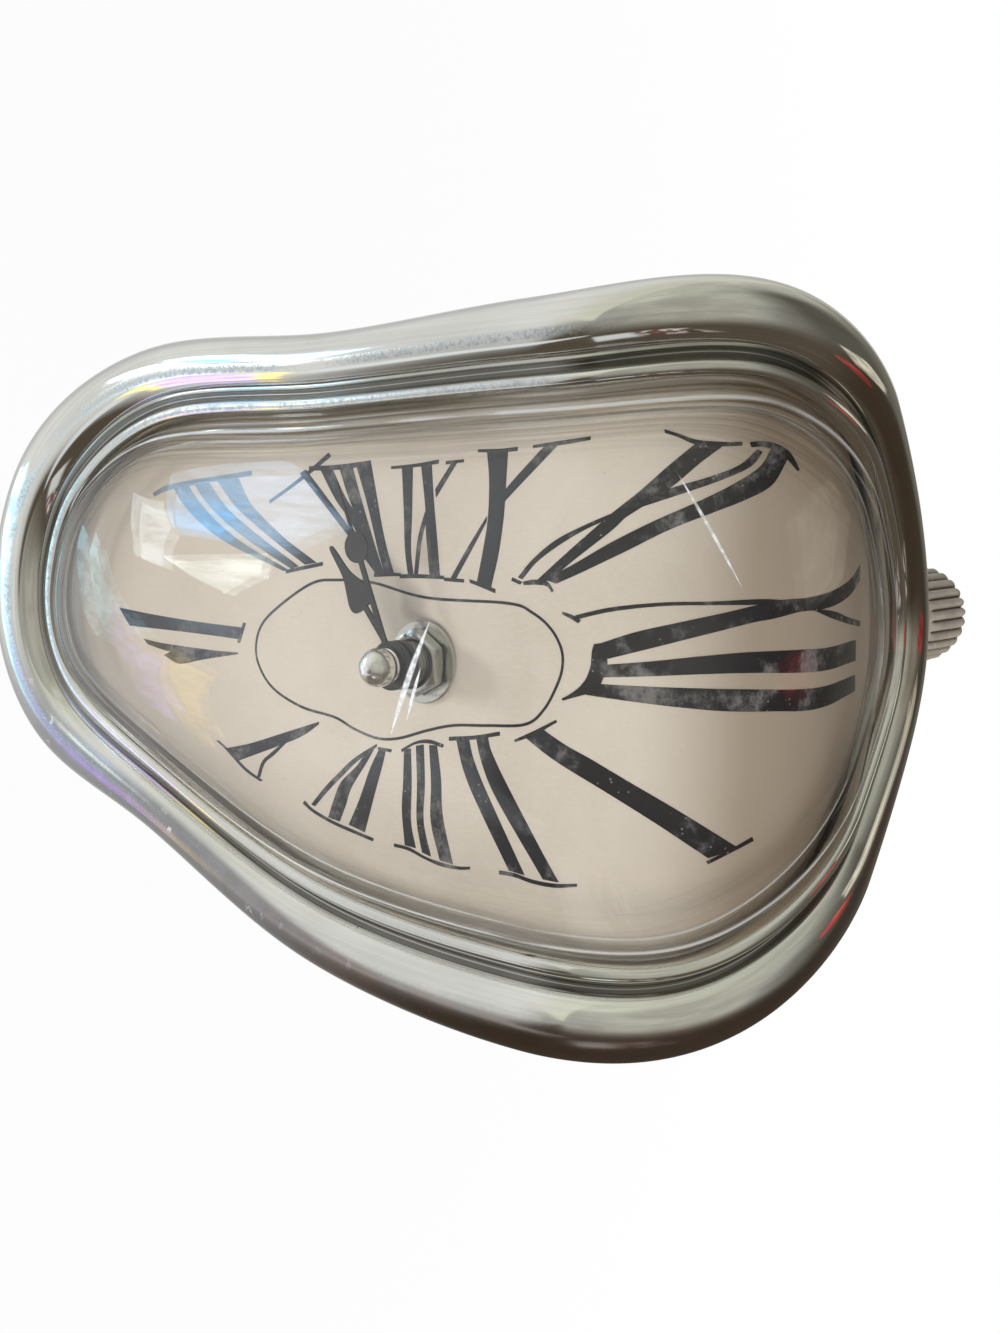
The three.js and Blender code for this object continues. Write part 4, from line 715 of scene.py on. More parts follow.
# Each stroke of a numeral is a band from one edge to the other. It takes four numbers at each place along it: up along
# the dial and to the right, first for the one edge and then for the other, in mm.
numerals = {
    "twelve": [
        [28.7, -11.4, 28.8, -10.9, 30.7, -11, 30.5, -10.3, 32.3, -10.3, 31.8, -9.7],
        [31.2, -11, 31.4, -10.3, 37.6, -12.8, 37.6, -12.1, 45.6, -14, 45.6, -13.4, 53.7, -14.4, 53.7, -13.8,
         61.5, -14.8, 61.7, -13.9, 66.4, -14.6, 66.4, -14.2],
        [35.5, -6.7, 36.9, -4.3, 41.8, -9.1, 44, -6.5, 49.7, -11.2, 51.9, -8.8, 55.8, -12.6, 60.3, -10.9,
         61.7, -13.9, 65, -11.6, 66.4, -14.6, 70.4, -12.5, 72.1, -14.7, 75.3, -12.5],
        [71.8, -14.7, 74.6, -12.5, 79.5, -15.5, 80.8, -13, 87.5, -16.9, 88, -14.2, 92.4, -19.1, 92.9, -16.4],
        [74.6, -12.8, 74.4, -12.4, 80.9, -11.9, 80.1, -10.8, 87.3, -10.5, 87.6, -9.3, 94.2, -9.2, 94.4, -8.2],
        [34.7, -6.6, 36.2, -6.9, 34.4, -5.3, 37, -4.5, 34.3, -3.2, 37.1, -3.3, 33.7, -1.1, 36.5, -1,
         32.5, 0.6, 35.4, 1.2, 30.8, 2, 33.5, 1.8, 29.3, 2.9, 29.5, 3.2],
        [36.9, -3.4, 36.4, -1.3, 44.1, -4.4, 44.2, -2, 52.1, -5.5, 52.2, -2.6, 60.6, -6.2, 60.8, -2.8,
         70.9, -6.2, 71.2, -2.4, 78, -6, 78.4, -2.2, 92.4, -6.1, 93.1, -2.4],
        [36, -0.2, 33.7, 1.8, 44.2, -0.3, 40.3, 2.2, 52.3, -0.3, 48.4, 2.8, 60.9, -0.1, 56.7, 3.4,
         71.5, 0.4, 66.1, 3.7, 78.8, 0.5, 75.9, 4.1, 93.2, 0.1, 93.8, 3],
    ],
    "eleven": [
        [18.3, -16.1, 18.1, -15.5, 20.5, -15.5, 20, -15],
        [50, -39.7, 54.2, -39.2, 45.8, -36, 50.5, -36.3, 41.2, -31.6, 45.6, -31.9, 36.5, -27.6, 39, -27.2],
        [36.5, -27.6, 39, -27.2, 33.9, -25.2, 36.6, -24.8, 28.4, -20.3, 30.7, -20, 23.5, -16.1, 25.9, -16.1],
        [60, -38.8, 61, -38.4, 57.1, -36.3, 59.1, -36.1, 52.6, -34.4, 54.7, -34, 46, -32.2, 48.4, -31.6,
         41.3, -29.9, 41.7, -29.1],
        [19.5, -16.2, 20.4, -15.9, 22.4, -19.4, 23.4, -19.1, 26.8, -22.8, 27.8, -22.2, 31.9, -25.5, 32.3, -24.9,
         36.5, -27.7, 36.5, -27],
        [44.6, -41.5, 44.8, -40.9, 47.2, -40.8, 47.2, -40.2, 50, -40, 49.6, -39.3, 54.4, -39.8, 53.6, -39.1,
         57.3, -39.9, 57.4, -39.3],
        [20.6, -15.6, 20.7, -15, 23, -16.1, 23.6, -15.3, 25.6, -16, 25.6, -15.2, 27, -14.6, 26.5, -14.3],
        [25.1, -16.3, 27.4, -15.8, 30.8, -19.4, 32.2, -18.1, 37.1, -23.3, 39.2, -21.8, 43.8, -27, 46.3, -25.7,
         50.8, -30.4, 53.3, -28.7, 56, -33.1, 58.3, -30.7, 60.6, -36, 63.1, -33.2, 62.5, -38.9, 65.8, -37.3],
        [58.6, -39.9, 58.9, -39.1, 61.3, -40.1, 61.1, -39.2, 64.2, -39.5, 63.3, -38.6, 66.5, -38.2, 65.7, -37.3,
         68.5, -35.7, 68.1, -35.4],
    ],
    "ten": [
        [10.1, -36.8, 10.1, -36.3, 14.8, -37.1, 14.8, -36.5, 18.5, -37.6, 18.5, -36.9],
        [12, -36.7, 16.5, -36.9, 12.7, -31.8, 16.3, -31.1, 12.7, -25.6, 16.1, -26.3, 11.9, -20.2, 15.3, -20,
         10.8, -14.7, 13.9, -14],
        [9.1, -15, 9.3, -14.4, 12.1, -14.5, 11.9, -13.8, 14.9, -13.8, 14.8, -13.1],
        [21.6, -38, 21.6, -37.5, 27.4, -39, 27.5, -38.3, 32.7, -39.9, 32.7, -39.3],
        [24.4, -38.4, 27.1, -38.6, 16.9, -31.2, 16.4, -28.7, 15.1, -28.8, 14.8, -26.7],
        [12.5, -25.9, 12.5, -24.9, 8.6, -20.3, 9.5, -20, 5.1, -14.9, 6.2, -14.7],
        [3.6, -14.8, 3.6, -14.2, 8, -14.9, 8, -14.3],
    ],
    "nine": [
        [-9.1, -33, -9.1, -32.5, -3.7, -33.7, -3.6, -33.1, 1.7, -34.7, 1.7, -34],
        [-6.6, -32.9, -4.1, -33.2, -5.9, -25.4, -4, -25.5, -5.4, -18.9, -4, -19, -4.5, -14.3, -3.2, -14.4],
        [-2.3, -33.6, 0.1, -34.1, -1.1, -26.7, 0.8, -27.9, -0.7, -21.8, 1.7, -22, 0.4, -14.7, 2.7, -14.9],
        [4.5, -34.3, 5.9, -34.6, 1, -29.6, 1.3, -28.2],
        [-1.1, -25.7, -0.6, -24.4, -2.5, -21, -1.6, -20.7, -3.2, -14.4, -2.3, -14.5],
        [-6.4, -14.5, -6.4, -13.8, -1.8, -14.9, -1.8, -14.2, 3.6, -15.1, 3.6, -14.5],
        [3.2, -34.5, 3.2, -33.9, 7.1, -35, 7.2, -34.5],
    ],
    "eight": [
        [-38.5, -25.3, -38.3, -24.7, -30.8, -29.9, -30.3, -29.4, -23.9, -34.7, -23.3, -34],
        [-30.9, -30.6, -29.4, -31.4, -19.6, -21, -18.1, -21.4, -11.9, -14, -10.5, -14.3],
        [-28.7, -32, -28.6, -31.2, -21.1, -32.7, -21.1, -31.8, -13.8, -33.8, -13.8, -32.9],
        [-26.1, -31.9, -23.1, -32.2, -22.1, -26.6, -19.8, -27.3, -17.7, -22.2, -15.3, -22.2,
         -11.9, -14.2, -10.8, -14.3],
        [-21.4, -32.3, -18.2, -32.7, -18.8, -26.9, -15.9, -27.1, -15.9, -22.1, -13.8, -22.3, -13, -17.8, -11.8, -17.9,
         -11, -14.4, -10.1, -14.5],
        [-17.3, -32.9, -13.7, -33.2, -14.8, -27.1, -12.1, -27.3, -13, -22.3, -10.8, -22.5, -11.5, -18, -9.3, -18.1,
         -10, -14.3, -7.7, -14.5],
        [-12.4, -14.2, -12.4, -13.5, -9.2, -14.6, -9.1, -13.9, -6.2, -14.7, -6.1, -14.2],
    ],
    "seven": [
        [-69.8, -24.9, -69.5, -24.1, -63.7, -27, -63.4, -26, -43.1, -30.5, -43, -29.6],
        [-33.9, -13, -33.9, -12.3, -24.7, -15.2, -24.7, -14.5],
        [-64.5, -26.5, -60.2, -27.1, -61.2, -23.1, -56.7, -23.7, -56.2, -19.8, -51.4, -20.1,
         -48.6, -16.5, -44.5, -16.8, -34.4, -12.7, -33.1, -13],
        [-58.8, -27.6, -54.9, -28.2, -55.3, -24.2, -49.8, -23.5, -50, -20.7, -44.3, -20.3, -43.2, -17.4, -37.9, -17.2,
         -32.6, -13.3, -30.6, -13.9],
        [-52.8, -28.7, -47, -29.5, -47.7, -24, -43.7, -24.9, -42.3, -20.8, -40, -22.1, -35.9, -17.5, -34, -18.5,
         -29.1, -14.3, -26.2, -14.9],
    ],
    "six": [
        [-79.3, -1.8, -76.1, 1.5, -70, -1.4, -64.3, 1.2, -58.5, -1.2, -53, 1, -44.7, -1.3, -45.7, 1],
        [-44.7, -2.3, -43.9, -2.2, -46.2, 1.6, -45.4, 1.7],
        [-72.1, 3.6, -70.8, 4.6, -67.4, 3.9, -67.3, 5.1, -60.6, 3.9, -63.4, 5.3, -52.9, 3.8, -57.3, 4.8,
         -45.9, 3.5, -45.9, 3.8],
        [-66.2, 6.2, -65.3, 6.5, -63.4, 5.1, -61.7, 7.4, -57.3, 4.3, -55, 5.8, -45.9, 3.5, -45.9, 3.8],
    ],
    "five": [
        [-24.8, 13.8, -24.8, 14.3, -34.3, 17.3, -28.7, 16.9, -42.3, 20.2, -34, 19.3, -49, 22.1, -45.7, 24.1],
        [-34, 19.1, -33, 18.9, -36.8, 21.2, -35.8, 21.4, -39.1, 23.2, -38.3, 23.4, -40.3, 26.2, -39.5, 26.3],
        [-51.4, 20.9, -50.6, 20.8, -48.7, 22.3, -47.9, 22.2, -43.8, 25.4, -43, 25.1, -39.5, 27, -38.7, 26.7],
    ],
    "four": [
        [-10.7, 15.9, -10.6, 16.4, -15.8, 19.1, -15.3, 19.8, -19.4, 22.2, -18.6, 22.8, -23, 25.6, -22, 26,
         -26.3, 29.3, -25.3, 29.5],
        [-13.2, 17.6, -11.3, 17, -15.3, 20.5, -13.1, 19.8, -19.1, 24.1, -16.4, 24.6, -20.7, 27.5, -17.7, 28,
         -22, 31, -19.1, 31.3],
        [-10.4, 16.4, -10.4, 16.9, -7.1, 16.4, -7.3, 17],
        [-10.2, 16.9, -8.5, 16.6, -12.2, 20.7, -9.1, 19.2, -14.4, 26.3, -10.6, 24.1, -16.9, 31.5, -13, 32.3],
        [-27.9, 28.8, -28.4, 29.4, -25.6, 30.1, -25.8, 30.7, -20.8, 31.4, -21, 32, -15.4, 32.3, -15.6, 32.9,
         -10.8, 33, -11, 33.6],
    ],
    "three": [
        [-5, 16.1, -4.8, 16.6, -1.8, 14.3, -1.8, 14.8, 1.3, 13.5, 1.3, 14.2, 4.7, 13.9, 4.5, 14.5],
        [-4.3, 16, -2.7, 15.6, -4.3, 22.1, -2.3, 21.8, -4.4, 26.9, -2.2, 28.5, -3.5, 33, -0.9, 33.1],
        [-1.6, 15, 0.2, 14.5, -1.1, 21.6, 0.7, 21.3, -0.9, 28.3, 0.7, 28.1, 0.5, 33.6, 2.6, 34],
        [1.4, 14.4, 3.2, 14.3, 2.1, 21.1, 4.3, 19.9, 2.3, 27.8, 5, 26.5, 4.6, 34.3, 7.6, 34.5],
        [-6, 33.1, -6, 33.7, -2.5, 33.2, -2.7, 33.8, 1.4, 34.2, 1.2, 34.7, 5.1, 34.6, 4.9, 35.3, 8.9, 34.6, 8.7, 35.2,
         11.4, 34.2, 11.4, 34.7],
    ],
    "two": [
        [5.8, 12.4, 5.8, 13.1, 11.5, 11.4, 11.5, 12.1, 16.8, 10, 16.9, 10.7],
        [7.4, 12.7, 10.2, 12.1, 9.3, 17.9, 11.5, 15.7, 12.7, 23.5, 14.7, 21.1, 19.8, 33.4, 23.2, 33.6],
        [11.7, 11.7, 14.3, 11.2, 13.2, 16, 15.3, 13.8, 16.7, 21.7, 19.2, 19.4, 27, 33.6, 30.2, 33.6],
        [17.7, 33.7, 17.7, 34.4, 21.1, 33.6, 21.1, 34.3, 24.7, 34, 24.8, 34.7, 29.4, 33.9, 29.4, 34.6,
         33.5, 33.3, 33.5, 33.8],
    ],
    "one": [
        [19.9, 11, 20.1, 11.4, 24.2, 8.8, 24.4, 9.5, 28.4, 6.5, 28.6, 6.9],
        [22.2, 10.3, 25.6, 8.3, 27.5, 12.9, 30.5, 10.5, 36.8, 17, 36.6, 13, 45.9, 21.9, 48.3, 19,
         55.1, 27.7, 60.3, 26.1],
        [54.7, 28.2, 55.1, 28.7, 58.8, 26.3, 59.2, 26.8, 62.8, 24.4, 63.2, 25.1],
    ],
}


def strokeSlab(stroke, order):
    # a thin slab between two edges, cut finely enough to follow the bend; both edges run as curves in equal shares
    steps, columns = printLook["steps"], printLook["columns"]
    cut = np.linspace(0, 1, steps)

    def along(edge):
        line = smoothLine(edge, 12)
        at = np.concatenate([[0], np.cumsum(np.linalg.norm(np.diff(line, axis=0), axis=1))])
        return np.stack([np.interp(cut * at[-1], at, line[:, k]) for k in range(2)], -1)

    left, right = (along(edge) for edge in np.reshape(stroke, (-1, 2, 2)).transpose(1, 0, 2))
    spread = np.linspace(0, 1, columns)[None, :, None]
    flat = left[:, None] * (1 - spread) + right[:, None] * spread
    top = onDial(flat[..., 0], flat[..., 1], printLook["height"] + order * printLook["step"])
    under = onDial(flat[..., 0], flat[..., 1], printLook["foot"])[:, ::-1]
    points = np.concatenate([top, under], 1)
    count = 2 * columns
    start = order * steps * count
    faces = np.array(gridFaces(steps, count, False)) + start
    last = start + (steps - 1) * count
    ends = [[k, k + 1, count - 2 - k, count - 1 - k] for k in range(columns - 1)]
    faces = faces.tolist() + [[start + k for k in end[::-1]] for end in ends]
    faces += [[last + k for k in end] for end in ends]
    turnsBack = np.cross(left[-1] - left[0], right[0] - left[0]) > 0
    return points.reshape(-1, 3), [face[::-1] for face in faces] if turnsBack else faces


for name, strokes in numerals.items():
    slabs = [strokeSlab(stroke, order) for order, stroke in enumerate(strokes)]
    points = np.concatenate([slab[0] for slab in slabs])
    faces = [face for slab in slabs for face in slab[1]]
    addMesh("numeral_" + name, points, faces, "hand_black", material=numeralInk, sharp=30)

ringLook = {
    "width": 0.5,
    "path": [(-41.2, 2.6), (-39.9, -2.2), (-35, -6.5), (-27.3, -11.1), (-21.5, -12.2), (-12.6, -12.5), (-0.1, -11),
             (17.6, -11.7), (22.8, -10.6), (26.6, -8.4), (28.8, -5.4), (29.2, -2.4), (28.3, 0.8), (25.9, 5.1),
             (22.1, 8.1), (13.8, 9.4), (6.8, 10.3), (0.8, 12), (-5.5, 14.2), (-10.5, 14.9), (-16, 14),
             (-20.9, 12.5), (-28.9, 11.7), (-35.6, 9.6), (-39.4, 6.6)],
}


def ringLine():
    # one closed line of even width round the hands' axis
    line = smoothLine(ringLook["path"], 10, closed=True)
    slope = np.roll(line, -1, 0) - np.roll(line, 1, 0)
    side = np.stack([-slope[:, 1], slope[:, 0]], -1) / np.linalg.norm(slope, axis=1)[:, None] * ringLook["width"] / 2
    inner, outer = line + side, line - side
    top, foot = printLook["height"], printLook["foot"]
    return np.stack([onDial(*edge.T, at) for edge, at in ((inner, top), (outer, top), (outer, foot), (inner, foot))])


ringPoints = ringLine()
addMesh("innerRing", ringPoints, gridFaces(4, ringPoints.shape[1], True), "hand_black", material=numeralInk, sharp=30)
print("dial printed:", len(numerals), "numerals")


# Fittings on the hands' axis: pairs are front and back behind the dial's plane, in mm
stackLook = {
    "bore": 4.2, "washerRadius": 7.2, "washer": (-1.1, -0.3), "nutFlats": 10.4, "nut": (-4, -1.4), "nutSides": 144,
    "bushRadius": 3.9, "bushFront": -6, "bushBore": 2.85, "bushRows": 150, "flangeRadius": 5.6, "flangeDepth": 0.8,
    "threadPitch": 0.75, "threadDepth": 0.22, "capBall": 3.35, "capCollar": 3.05, "capBore": 1.4, "cap": (-15.5, -9.7),
}


def edged(corners, radius):
    # a closed profile with small bevels at its corners
    corners = np.asarray(corners, float)
    cuts = []
    for turn in (1, -1):
        way = np.roll(corners, turn, 0) - corners
        cuts.append(corners + way * np.minimum(radius / np.maximum(np.linalg.norm(way, axis=1), 1e-9), 0.45)[:, None])
    return np.stack(cuts, 1).reshape(-1, 2)


def ringProfile(inner, outer, ends):
    return edged([(inner, ends[0]), (outer, ends[0]), (outer, ends[1]), (inner, ends[1])], 0.15)


def hexNut():
    # the six flats, and bevels that leave a round face at each end; rows with a radius below nothing follow the flats
    look = stackLook
    (y0, y1), bore = look["nut"], look["bore"]
    flat = look["nutFlats"] / 2
    bevel = 0.95 * flat
    profile = np.array([(bore, y0 + 0.25), (bore + 0.3, y0), (bevel, y0), (-1, y0), (-1, y1), (bevel, y1),
                        (bore + 0.3, y1), (bore, y1 - 0.25)])
    turn = np.arange(look["nutSides"]) * 2 * math.pi / look["nutSides"]
    hexRadius = flat / np.cos((turn + math.pi / 6) % (math.pi / 3) - math.pi / 6)
    onFlats = profile[:, :1] < 0
    radius = np.where(onFlats, hexRadius, profile[:, :1] * np.ones(len(turn)))
    sink = np.where(onFlats, (hexRadius - bevel) * 0.5, 0) * np.where(profile[:, 1:] == y0, 1, -1)
    points = np.stack([radius * np.sin(turn), hubY + profile[:, 1:] + sink, hubZ + radius * np.cos(turn)], -1) * mm
    addMesh("hexNut", points, gridFaces(len(profile), len(turn), True), "nut_plated", sharp=30, node="hex_nut")


def threadedBush():
    # a thread in front, a flange inside the movement and a clear bore
    look = stackLook
    front, radius, bore, wide = look["bushFront"], look["bushRadius"], look["bushBore"], look["flangeRadius"]
    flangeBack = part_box("threaded_bush")[1].y / mm - hubY
    flangeFront = flangeBack - look["flangeDepth"]
    outline = [(bore, front + 0.2), (bore + 0.2, front), (radius - 0.35, front)]
    outline += [(radius, y) for y in np.linspace(front + 0.25, flangeFront - 0.3, look["bushRows"])]
    outline += [(wide - 0.1, flangeFront), (wide, flangeFront + 0.1), (wide, flangeBack - 0.1)]
    outline += [(wide - 0.1, flangeBack), (bore, flangeBack)]

    def threadRadius(profile, turn):
        # a ridge that climbs one pitch for each turn and fades out at the front
        plain, y = profile[:, :1], profile[:, 1:]
        ridge = np.abs(2 * ((y / look["threadPitch"] + turn[None, :] / (2 * math.pi)) % 1) - 1)
        isThread = (plain == radius) & (y < -0.2)
        fade = np.clip((y - front) / 0.8, 0, 1)
        return plain - np.where(isThread, look["threadDepth"] * (ridge * fade + (1 - fade)), 0)

    plated = platedFinish("bushPlated", (0.12, 0.12, 0.12), (0.34, 0.33, 0.32), 1)
    turnedPiece("threadedBush", outline, "brass", "threaded_bush", 72, threadRadius, material=plated, sharp=60)


def capNut():
    # a ball on a short collar, bored from behind
    look = stackLook
    (front, back), r, ball, bore = look["cap"], look["capCollar"], look["capBall"], look["capBore"]
    middle = front + ball
    lift = np.radians(np.arange(-32, 90, 4))
    dome = [(ball * math.cos(a), middle - ball * math.sin(a)) for a in lift]
    seat = dome[0][1] + 0.08
    outline = [(bore, middle), (bore, back), (r - 0.1, back), (r, back - 0.1), (r, seat + 0.1), (r - 0.1, seat), *dome]
    outline += [(0.02, front), (0.02, middle)]
    plated = platedFinish("capPlated", (0.40, 0.40, 0.40), (0.82, 0.82, 0.81), 0.5)
    turnedPiece("capNut", outline, "nut_plated", "cap_nut", 72, body="minute_group", material=plated)


washerProfile = ringProfile(stackLook["bore"], stackLook["washerRadius"], stackLook["washer"])
turnedPiece("dialWasher", washerProfile, "nut_plated", "dial_washer")
hexNut()
threadedBush()
capNut()
print("fittings made")


# Hands
handLook = {
    # for each hand: its angle from twelve, the collar's front and back, its bore, and rows of distance from the axis
    # and half width; the minute hand's rows go on round its disc to its point
    "hour": {"angle": 229, "collar": (-7.6, -6.4), "bore": 2.85,
             "rows": [(3, 0.60), (11.9, 0.60), (12.02, 1.5), (12.3, 2.35), (12.8, 2.85), (13.4, 3.02), (14, 3),
                      (14.8, 2.75), (15.7, 2.35), (16.6, 1.95), (17.5, 1.55), (18.4, 1.2), (19.4, 0.95),
                      (20.5, 0.82), (22, 0.72), (23.6, 0.62), (24.7, 0.45), (24.97, 0.15)]},
    "minute": {"angle": 246, "collar": (-9.4, -8.2), "bore": 1.4, "rows": [(3, 0.64), (18.4, 0.56)],
               "disc": (21.2, 2.7), "point": [(24.2, 0.40), (28, 0.28), (32.95, 0.10)]},
}
bladeLook = {"thickness": 0.4, "bevel": 0.08, "collarRadius": 4.2, "collarSides": 96}


def handPiece(name, look, body, node):
    # a blade with bevelled edges on a round collar
    rows = list(look["rows"])
    if "disc" in look:
        middle, radius = look["disc"]
        turn = np.radians(np.arange(-78, 79, 6))
        rows += [*zip(middle + radius * np.sin(turn), radius * np.cos(turn)), *look["point"]]
    along, half = np.array(rows).T
    bevel, deep = bladeLook["bevel"], bladeLook["thickness"] / 2
    sides = np.stack([-half, -half + bevel, half - bevel, half, half - bevel, -half + bevel], 1)
    depth = sum(look["collar"]) / 2 + np.array([0, -deep, -deep, 0, deep, deep])
    angle, reach = math.radians(look["angle"]), along[:, None]
    blade = np.stack([reach * math.sin(angle) + sides * math.cos(angle), hubY + depth * np.ones_like(sides),
                      hubZ + reach * math.cos(angle) - sides * math.sin(angle)], -1)
    count = blade.shape[1]
    faces = gridFaces(len(rows), count, False)
    faces += [[*range(count)][::-1], [count * (len(rows) - 1) + k for k in range(count)]]
    # the collar's profile runs from back to front, so that its faces turn outwards like the blade's
    profile = ringProfile(look["bore"], bladeLook["collarRadius"], look["collar"][::-1])
    collar = turned(profile, bladeLook["collarSides"])
    faces += (np.array(gridFaces(len(profile), collar.shape[1], True)) + count * len(rows)).tolist()
    points = np.concatenate([blade.reshape(-1, 3), collar.reshape(-1, 3)]) * mm
    addMesh(name, points, faces, "hand_black", body, sharp=30, node=node)


handPiece("hourBlade", handLook["hour"], "hour_group", "hour_hand")
handPiece("minuteBlade", handLook["minute"], "minute_group", "minute_hand")
print("hands made")


# Crown
crownLook = {"ribs": 26, "depth": 0.95, "rowsPerRib": 14}


def crownPiece():
    # a ribbed knob: radius swells and sinks round it, less towards its ends, under a domed face
    low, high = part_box("crown")
    x0, z0 = (low.x + high.x) / 2 / mm, (low.z + high.z) / 2 / mm
    base, length, r = low.y / mm, (high.y - low.y) / mm, (high.x - low.x) / 2 / mm
    outline = smoothLine([(r - 1.4, 0), (r - 0.5, 0.5), (r - 0.1, 1.6), (r, 3), (r, length - 8),
                          (r - 0.25, length - 5.6), (r - 1.6, length - 3), (r - 4, length - 1),
                          (r - 6.8, length - 0.15), (1.2, length)], 7)
    share = np.clip(np.minimum(outline[:, 1:] / 1.6, (length - 0.6 - outline[:, 1:]) / 3.2), 0, 1)
    count = crownLook["ribs"] * crownLook["rowsPerRib"]
    turn = np.arange(count) * 2 * math.pi / count
    groove = share * (1 - np.abs(np.cos(turn * crownLook["ribs"] / 2))**0.7)
    radius = outline[:, :1] - crownLook["depth"] * groove
    y = base + outline[:, 1:] * np.ones(count)
    points = np.stack([x0 + radius * np.cos(turn), y, z0 + radius * np.sin(turn)], -1) * mm
    caps = [[*range(count)][::-1], [(len(outline) - 1) * count + k for k in range(count)]]
    addMesh("crownKnob", points, gridFaces(len(outline), count, False) + caps, "crown_paint", sharp=50,
            stored={"groove": groove.ravel()}, node="crown")


crownPiece()
print("crown made")


# Stage, camera and lights
studio = {
    # colours that mirrors see, apart from "level", the plain light on everything else
    "level": (0.49, 0.49, 0.49), "pale": (0.62, 0.61, 0.53), "front": (0.50, 0.49, 0.45), "back": (0.34, 0.31, 0.26),
    "lit": (0.85, 0.86, 0.75), "side": (0.12, 0.095, 0.07), "above": (0.13, 0.12, 0.10),
    "floorHeight": -0.3, "floorHalf": 4, "floorColour": (0.8, 0.8, 0.8),
}
# the camera as fitted to the photograph: its place and the picture's right, down and depth
cameraPlace = Vector((-47.01, -304.11, 186.17)) * mm
right = Vector((-0.03459622, 0.62204326, 0.78221818))
down = Vector((0.98985814, -0.08657737, 0.11262871))
ahead = Vector((0.13778233, 0.77818156, -0.61273933))


def addCamera():
    # focal length is twice the picture's width
    data = bpy.data.cameras.new("photoCamera")
    data.sensor_fit, data.sensor_width, data.lens = "HORIZONTAL", 36, 72
    data.clip_start = 0.01
    camera = linked("photoCamera", data)
    camera.matrix_world = Matrix.Translation(cameraPlace) @ Matrix([right, -down, -ahead]).transposed().to_4x4()
    bpy.context.scene.camera = camera


def addLight(name, direction, distance, size, power, colour):
    # a square lamp that mirrors don't show; direction points from the hands' axis to it
    target = Vector((0, hubY, hubZ)) * mm
    place = target + Vector(direction).normalized() * distance
    data = bpy.data.lights.new(name, "AREA")
    data.size, data.energy, data.color = size, power, colour
    lamp = linked(name, data)
    lamp.matrix_world = Matrix.Translation(place) @ (target - place).to_track_quat("-Z", "Y").to_matrix().to_4x4()
    lamp.visible_glossy = False


def glowFinish(name, colour):
    # a lit pane with dimmer streaks and crinkles
    f = Finish(name)
    crinkle = f.streaks(f.place(), (90, 35, 1), 5, 0.7).ramp(0.40, 0.62)
    bright, faint = (f.glow([c * share for c in colour]) for share in (1, 0.45))
    f.show(f.shaders(crinkle, faint, bright))
    return f.material


def addStage(name, corners, material, onlyMirrored):
    # a flat stage object with the given corners
    mesh = bpy.data.meshes.new(name)
    mesh.from_pydata(corners, [], [tuple(range(len(corners)))])
    mesh.materials.append(material)
    card = linked(name, mesh)
    if onlyMirrored:
        card.visible_camera = card.visible_diffuse = card.visible_shadow = card.visible_transmission = False


def addFloor():
    # pale floor: nearly white to the camera with a trace of shadow; in mirrors it dims with distance and to one side
    f = Finish("floorPale", Roughness=0.9, Base_Color=rgba(studio["floorColour"]))
    place = f.place()
    x, y = f.axes(place, "XY")
    reach = f.vector("LENGTH", place)
    far = f.mix(reach.ramp(0.25, 1.5), (1, 1, 1), f.mix(x.ramp(-0.5, -0.12), studio["lit"], studio["front"]))
    mirrored = f.mix(x.ramp(0.06, 0.40), far, studio["side"])
    # a bright strip that runs away to the front and right, a thin line in the plating
    strip = (x + 0.69 * y).near(-0.015, 0.02, 0.07) * y.fall(-0.3, -0.2)
    mirrored = f.mix(strip * 0.9, mirrored, (1.1, 1.15, 1.2))
    # the camera sees a trace of shadow near the clock and plain white farther out
    shown = 0.955 + 0.045 * reach.ramp(0.32, 0.75)
    camera, passed, glossy = (f.ray(kind) for kind in ("Camera", "Transmission", "Glossy"))
    share = (shown * camera.atLeast(passed)).atLeast(glossy)
    f.show(f.shaders(share, f.principled, f.glow(f.mix(glossy, (1, 1, 1), mirrored))))
    half = studio["floorHalf"]
    corners = [(x, y, studio["floorHeight"]) for x, y in ((-half, -half), (half, -half), (half, half), (-half, half))]
    addStage("floor", corners, f.material, False)


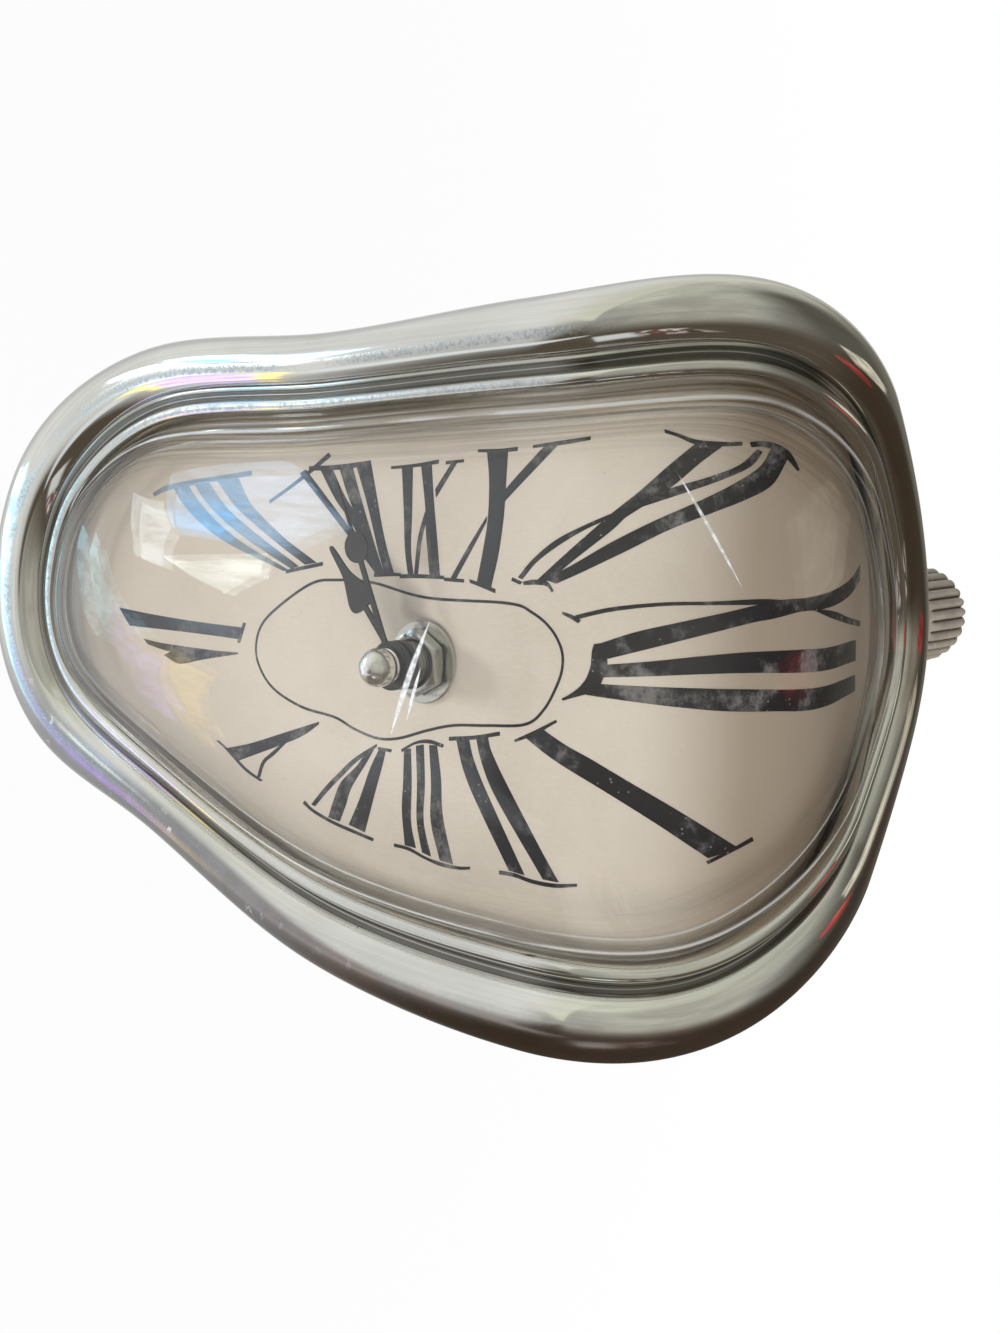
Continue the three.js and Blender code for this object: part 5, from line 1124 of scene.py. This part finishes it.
def setWorld():
    # white behind the clock, a plain level of light, and in mirrors a room that darkens upwards and to one side
    world = bpy.data.worlds.new("studio")
    bpy.context.scene.world = world
    world.use_nodes = True
    f = Finish("studio", world.node_tree)
    place = f.add("ShaderNodeTexCoord", None, None, "Generated")
    x, y, z = f.axes(place)
    room = f.mix(y.ramp(0.45, 0.95), studio["front"], studio["back"])
    room = f.mix(x.ramp(-0.9, -0.2), studio["lit"], room)
    room = f.mix(z.ramp(0, 0.6) * y.ramp(-0.45, 0.4), room, studio["above"])
    room = f.mix(z.ramp(0.1, 0.4) * y.fall(-0.5, 0), room, studio["pale"])
    room = f.mix(f.noise(place, 2.4, 3, 0.6).ramp(0.35, 0.65) * 0.25, room, studio["above"])
    room = f.mix(x.ramp(0.1, 0.65), room, studio["side"])
    # a bright strip low in the front, and above it a row of small bright and dark things, flecks in the plating
    column = x.near(0.76, 0.05, 0.12)
    room = f.mix(column * y.fall(-0.4, 0) * z.fall(0.18, 0.28) * 0.85, room, (0.95, 0.98, 1))
    shelf = column * y.fall(-0.2, 0.3) * z.ramp(0.22, 0.27) * z.fall(0.45, 0.55)
    red, green = f.axes(f.cells(f.scaled(place, (22, 10, 26)), 1, "Color"), "XY")
    things = f.mix(green.ramp(0.45, 0.5), (0.42, 0.13, 0.13), (0.95, 0.82, 0.78))
    things = f.mix(red.ramp(0.35, 0.45), (0.03, 0.05, 0.035), things)
    room = f.mix(shelf * green.ramp(0.2, 0.3), room, things)
    camera, passed, glossy = (f.ray(kind) for kind in ("Camera", "Transmission", "Glossy"))
    colours = (studio["level"], room, (1, 1, 1))
    plain, mirrored, white = (f.add("ShaderNodeBackground", None, {"Color": rgba(colour)}) for colour in colours)
    f.show(f.shaders(camera.atLeast(passed), f.shaders(glossy, plain, mirrored), white))


# Panes that only mirrors show: a window below the front, a red lantern and a haze above; corners are x and y in mm
paneLook = {
    "paneCyan": ([(-25, -65), (-5, -81), (46, -113), (77, -168), (57, -193), (19, -195), (-36, -102), (-39, -59)],
                 -240, (2, 3.1, 3.5)),
    "panePale": ([(-123.5, -137.8), (-161.6, -158.1), (-156.4, -177.2), (-127.3, -233.8), (-79.1, -234.4), (-98, -198),
                  (-106, -160)], -239.5, (3.2, 4.8, 7)),
    "paneWhite": ([(-54.3, -196.3), (-77, -230.3), (-52, -238), (-20.3, -231)], -239, (8.5, 9.6, 9.2)),
    "paneBlue": ([(-106.6, -158.6), (-124, -189.3), (-88.6, -205.6), (-85.5, -182.4)], -238.5, (1.2, 5.4, 10.5)),
    "paneCurtain": ([(-88.4, -112.4), (-104, -158.6), (-84.5, -182.4), (-42, -201.2), (-64.7, -156.1)],
                    -238, (5.6, 6.4, 6.8)),
    "paneLilac": ([(-2, -158), (25, -172), (70, -182), (116, -124), (100, -112), (56, -136)], -237.5, (2.2, 1.7, 3.6)),
    "paneGold": ([(25, -173), (70, -183), (118, -125), (128, -136), (76, -204)], -237, (3.4, 2.6, 0.9)),
    "redLantern": ([(13 + 12 * math.cos(a), 28 + 25 * math.sin(a)) for a in np.arange(24) * math.pi / 12],
                   120, (0.95, 0.17, 0.15)),
    "paneHaze": ([(-40, 15), (-50, 70), (-36, 140), (-17, 108), (-10, 30)], 121, (1.1, 1.05, 0.86)),
}


def addPanes():
    for name, (corners, z, colour) in paneLook.items():
        addStage(name, [(x * mm, y * mm, z * mm) for x, y in corners], glowFinish(name, colour), True)


addCamera()
addFloor()
setWorld()
addPanes()
addLight("keyLamp", (-0.12, -0.72, -0.68), 0.36, 0.07, 0.5, (0.96, 0.985, 1))
addLight("sideFill", (0.55, -0.62, 0.56), 0.6, 0.3, 2.35, (1, 0.975, 0.93))
bpy.context.scene.view_settings.view_transform = "Standard"
print("stage set")
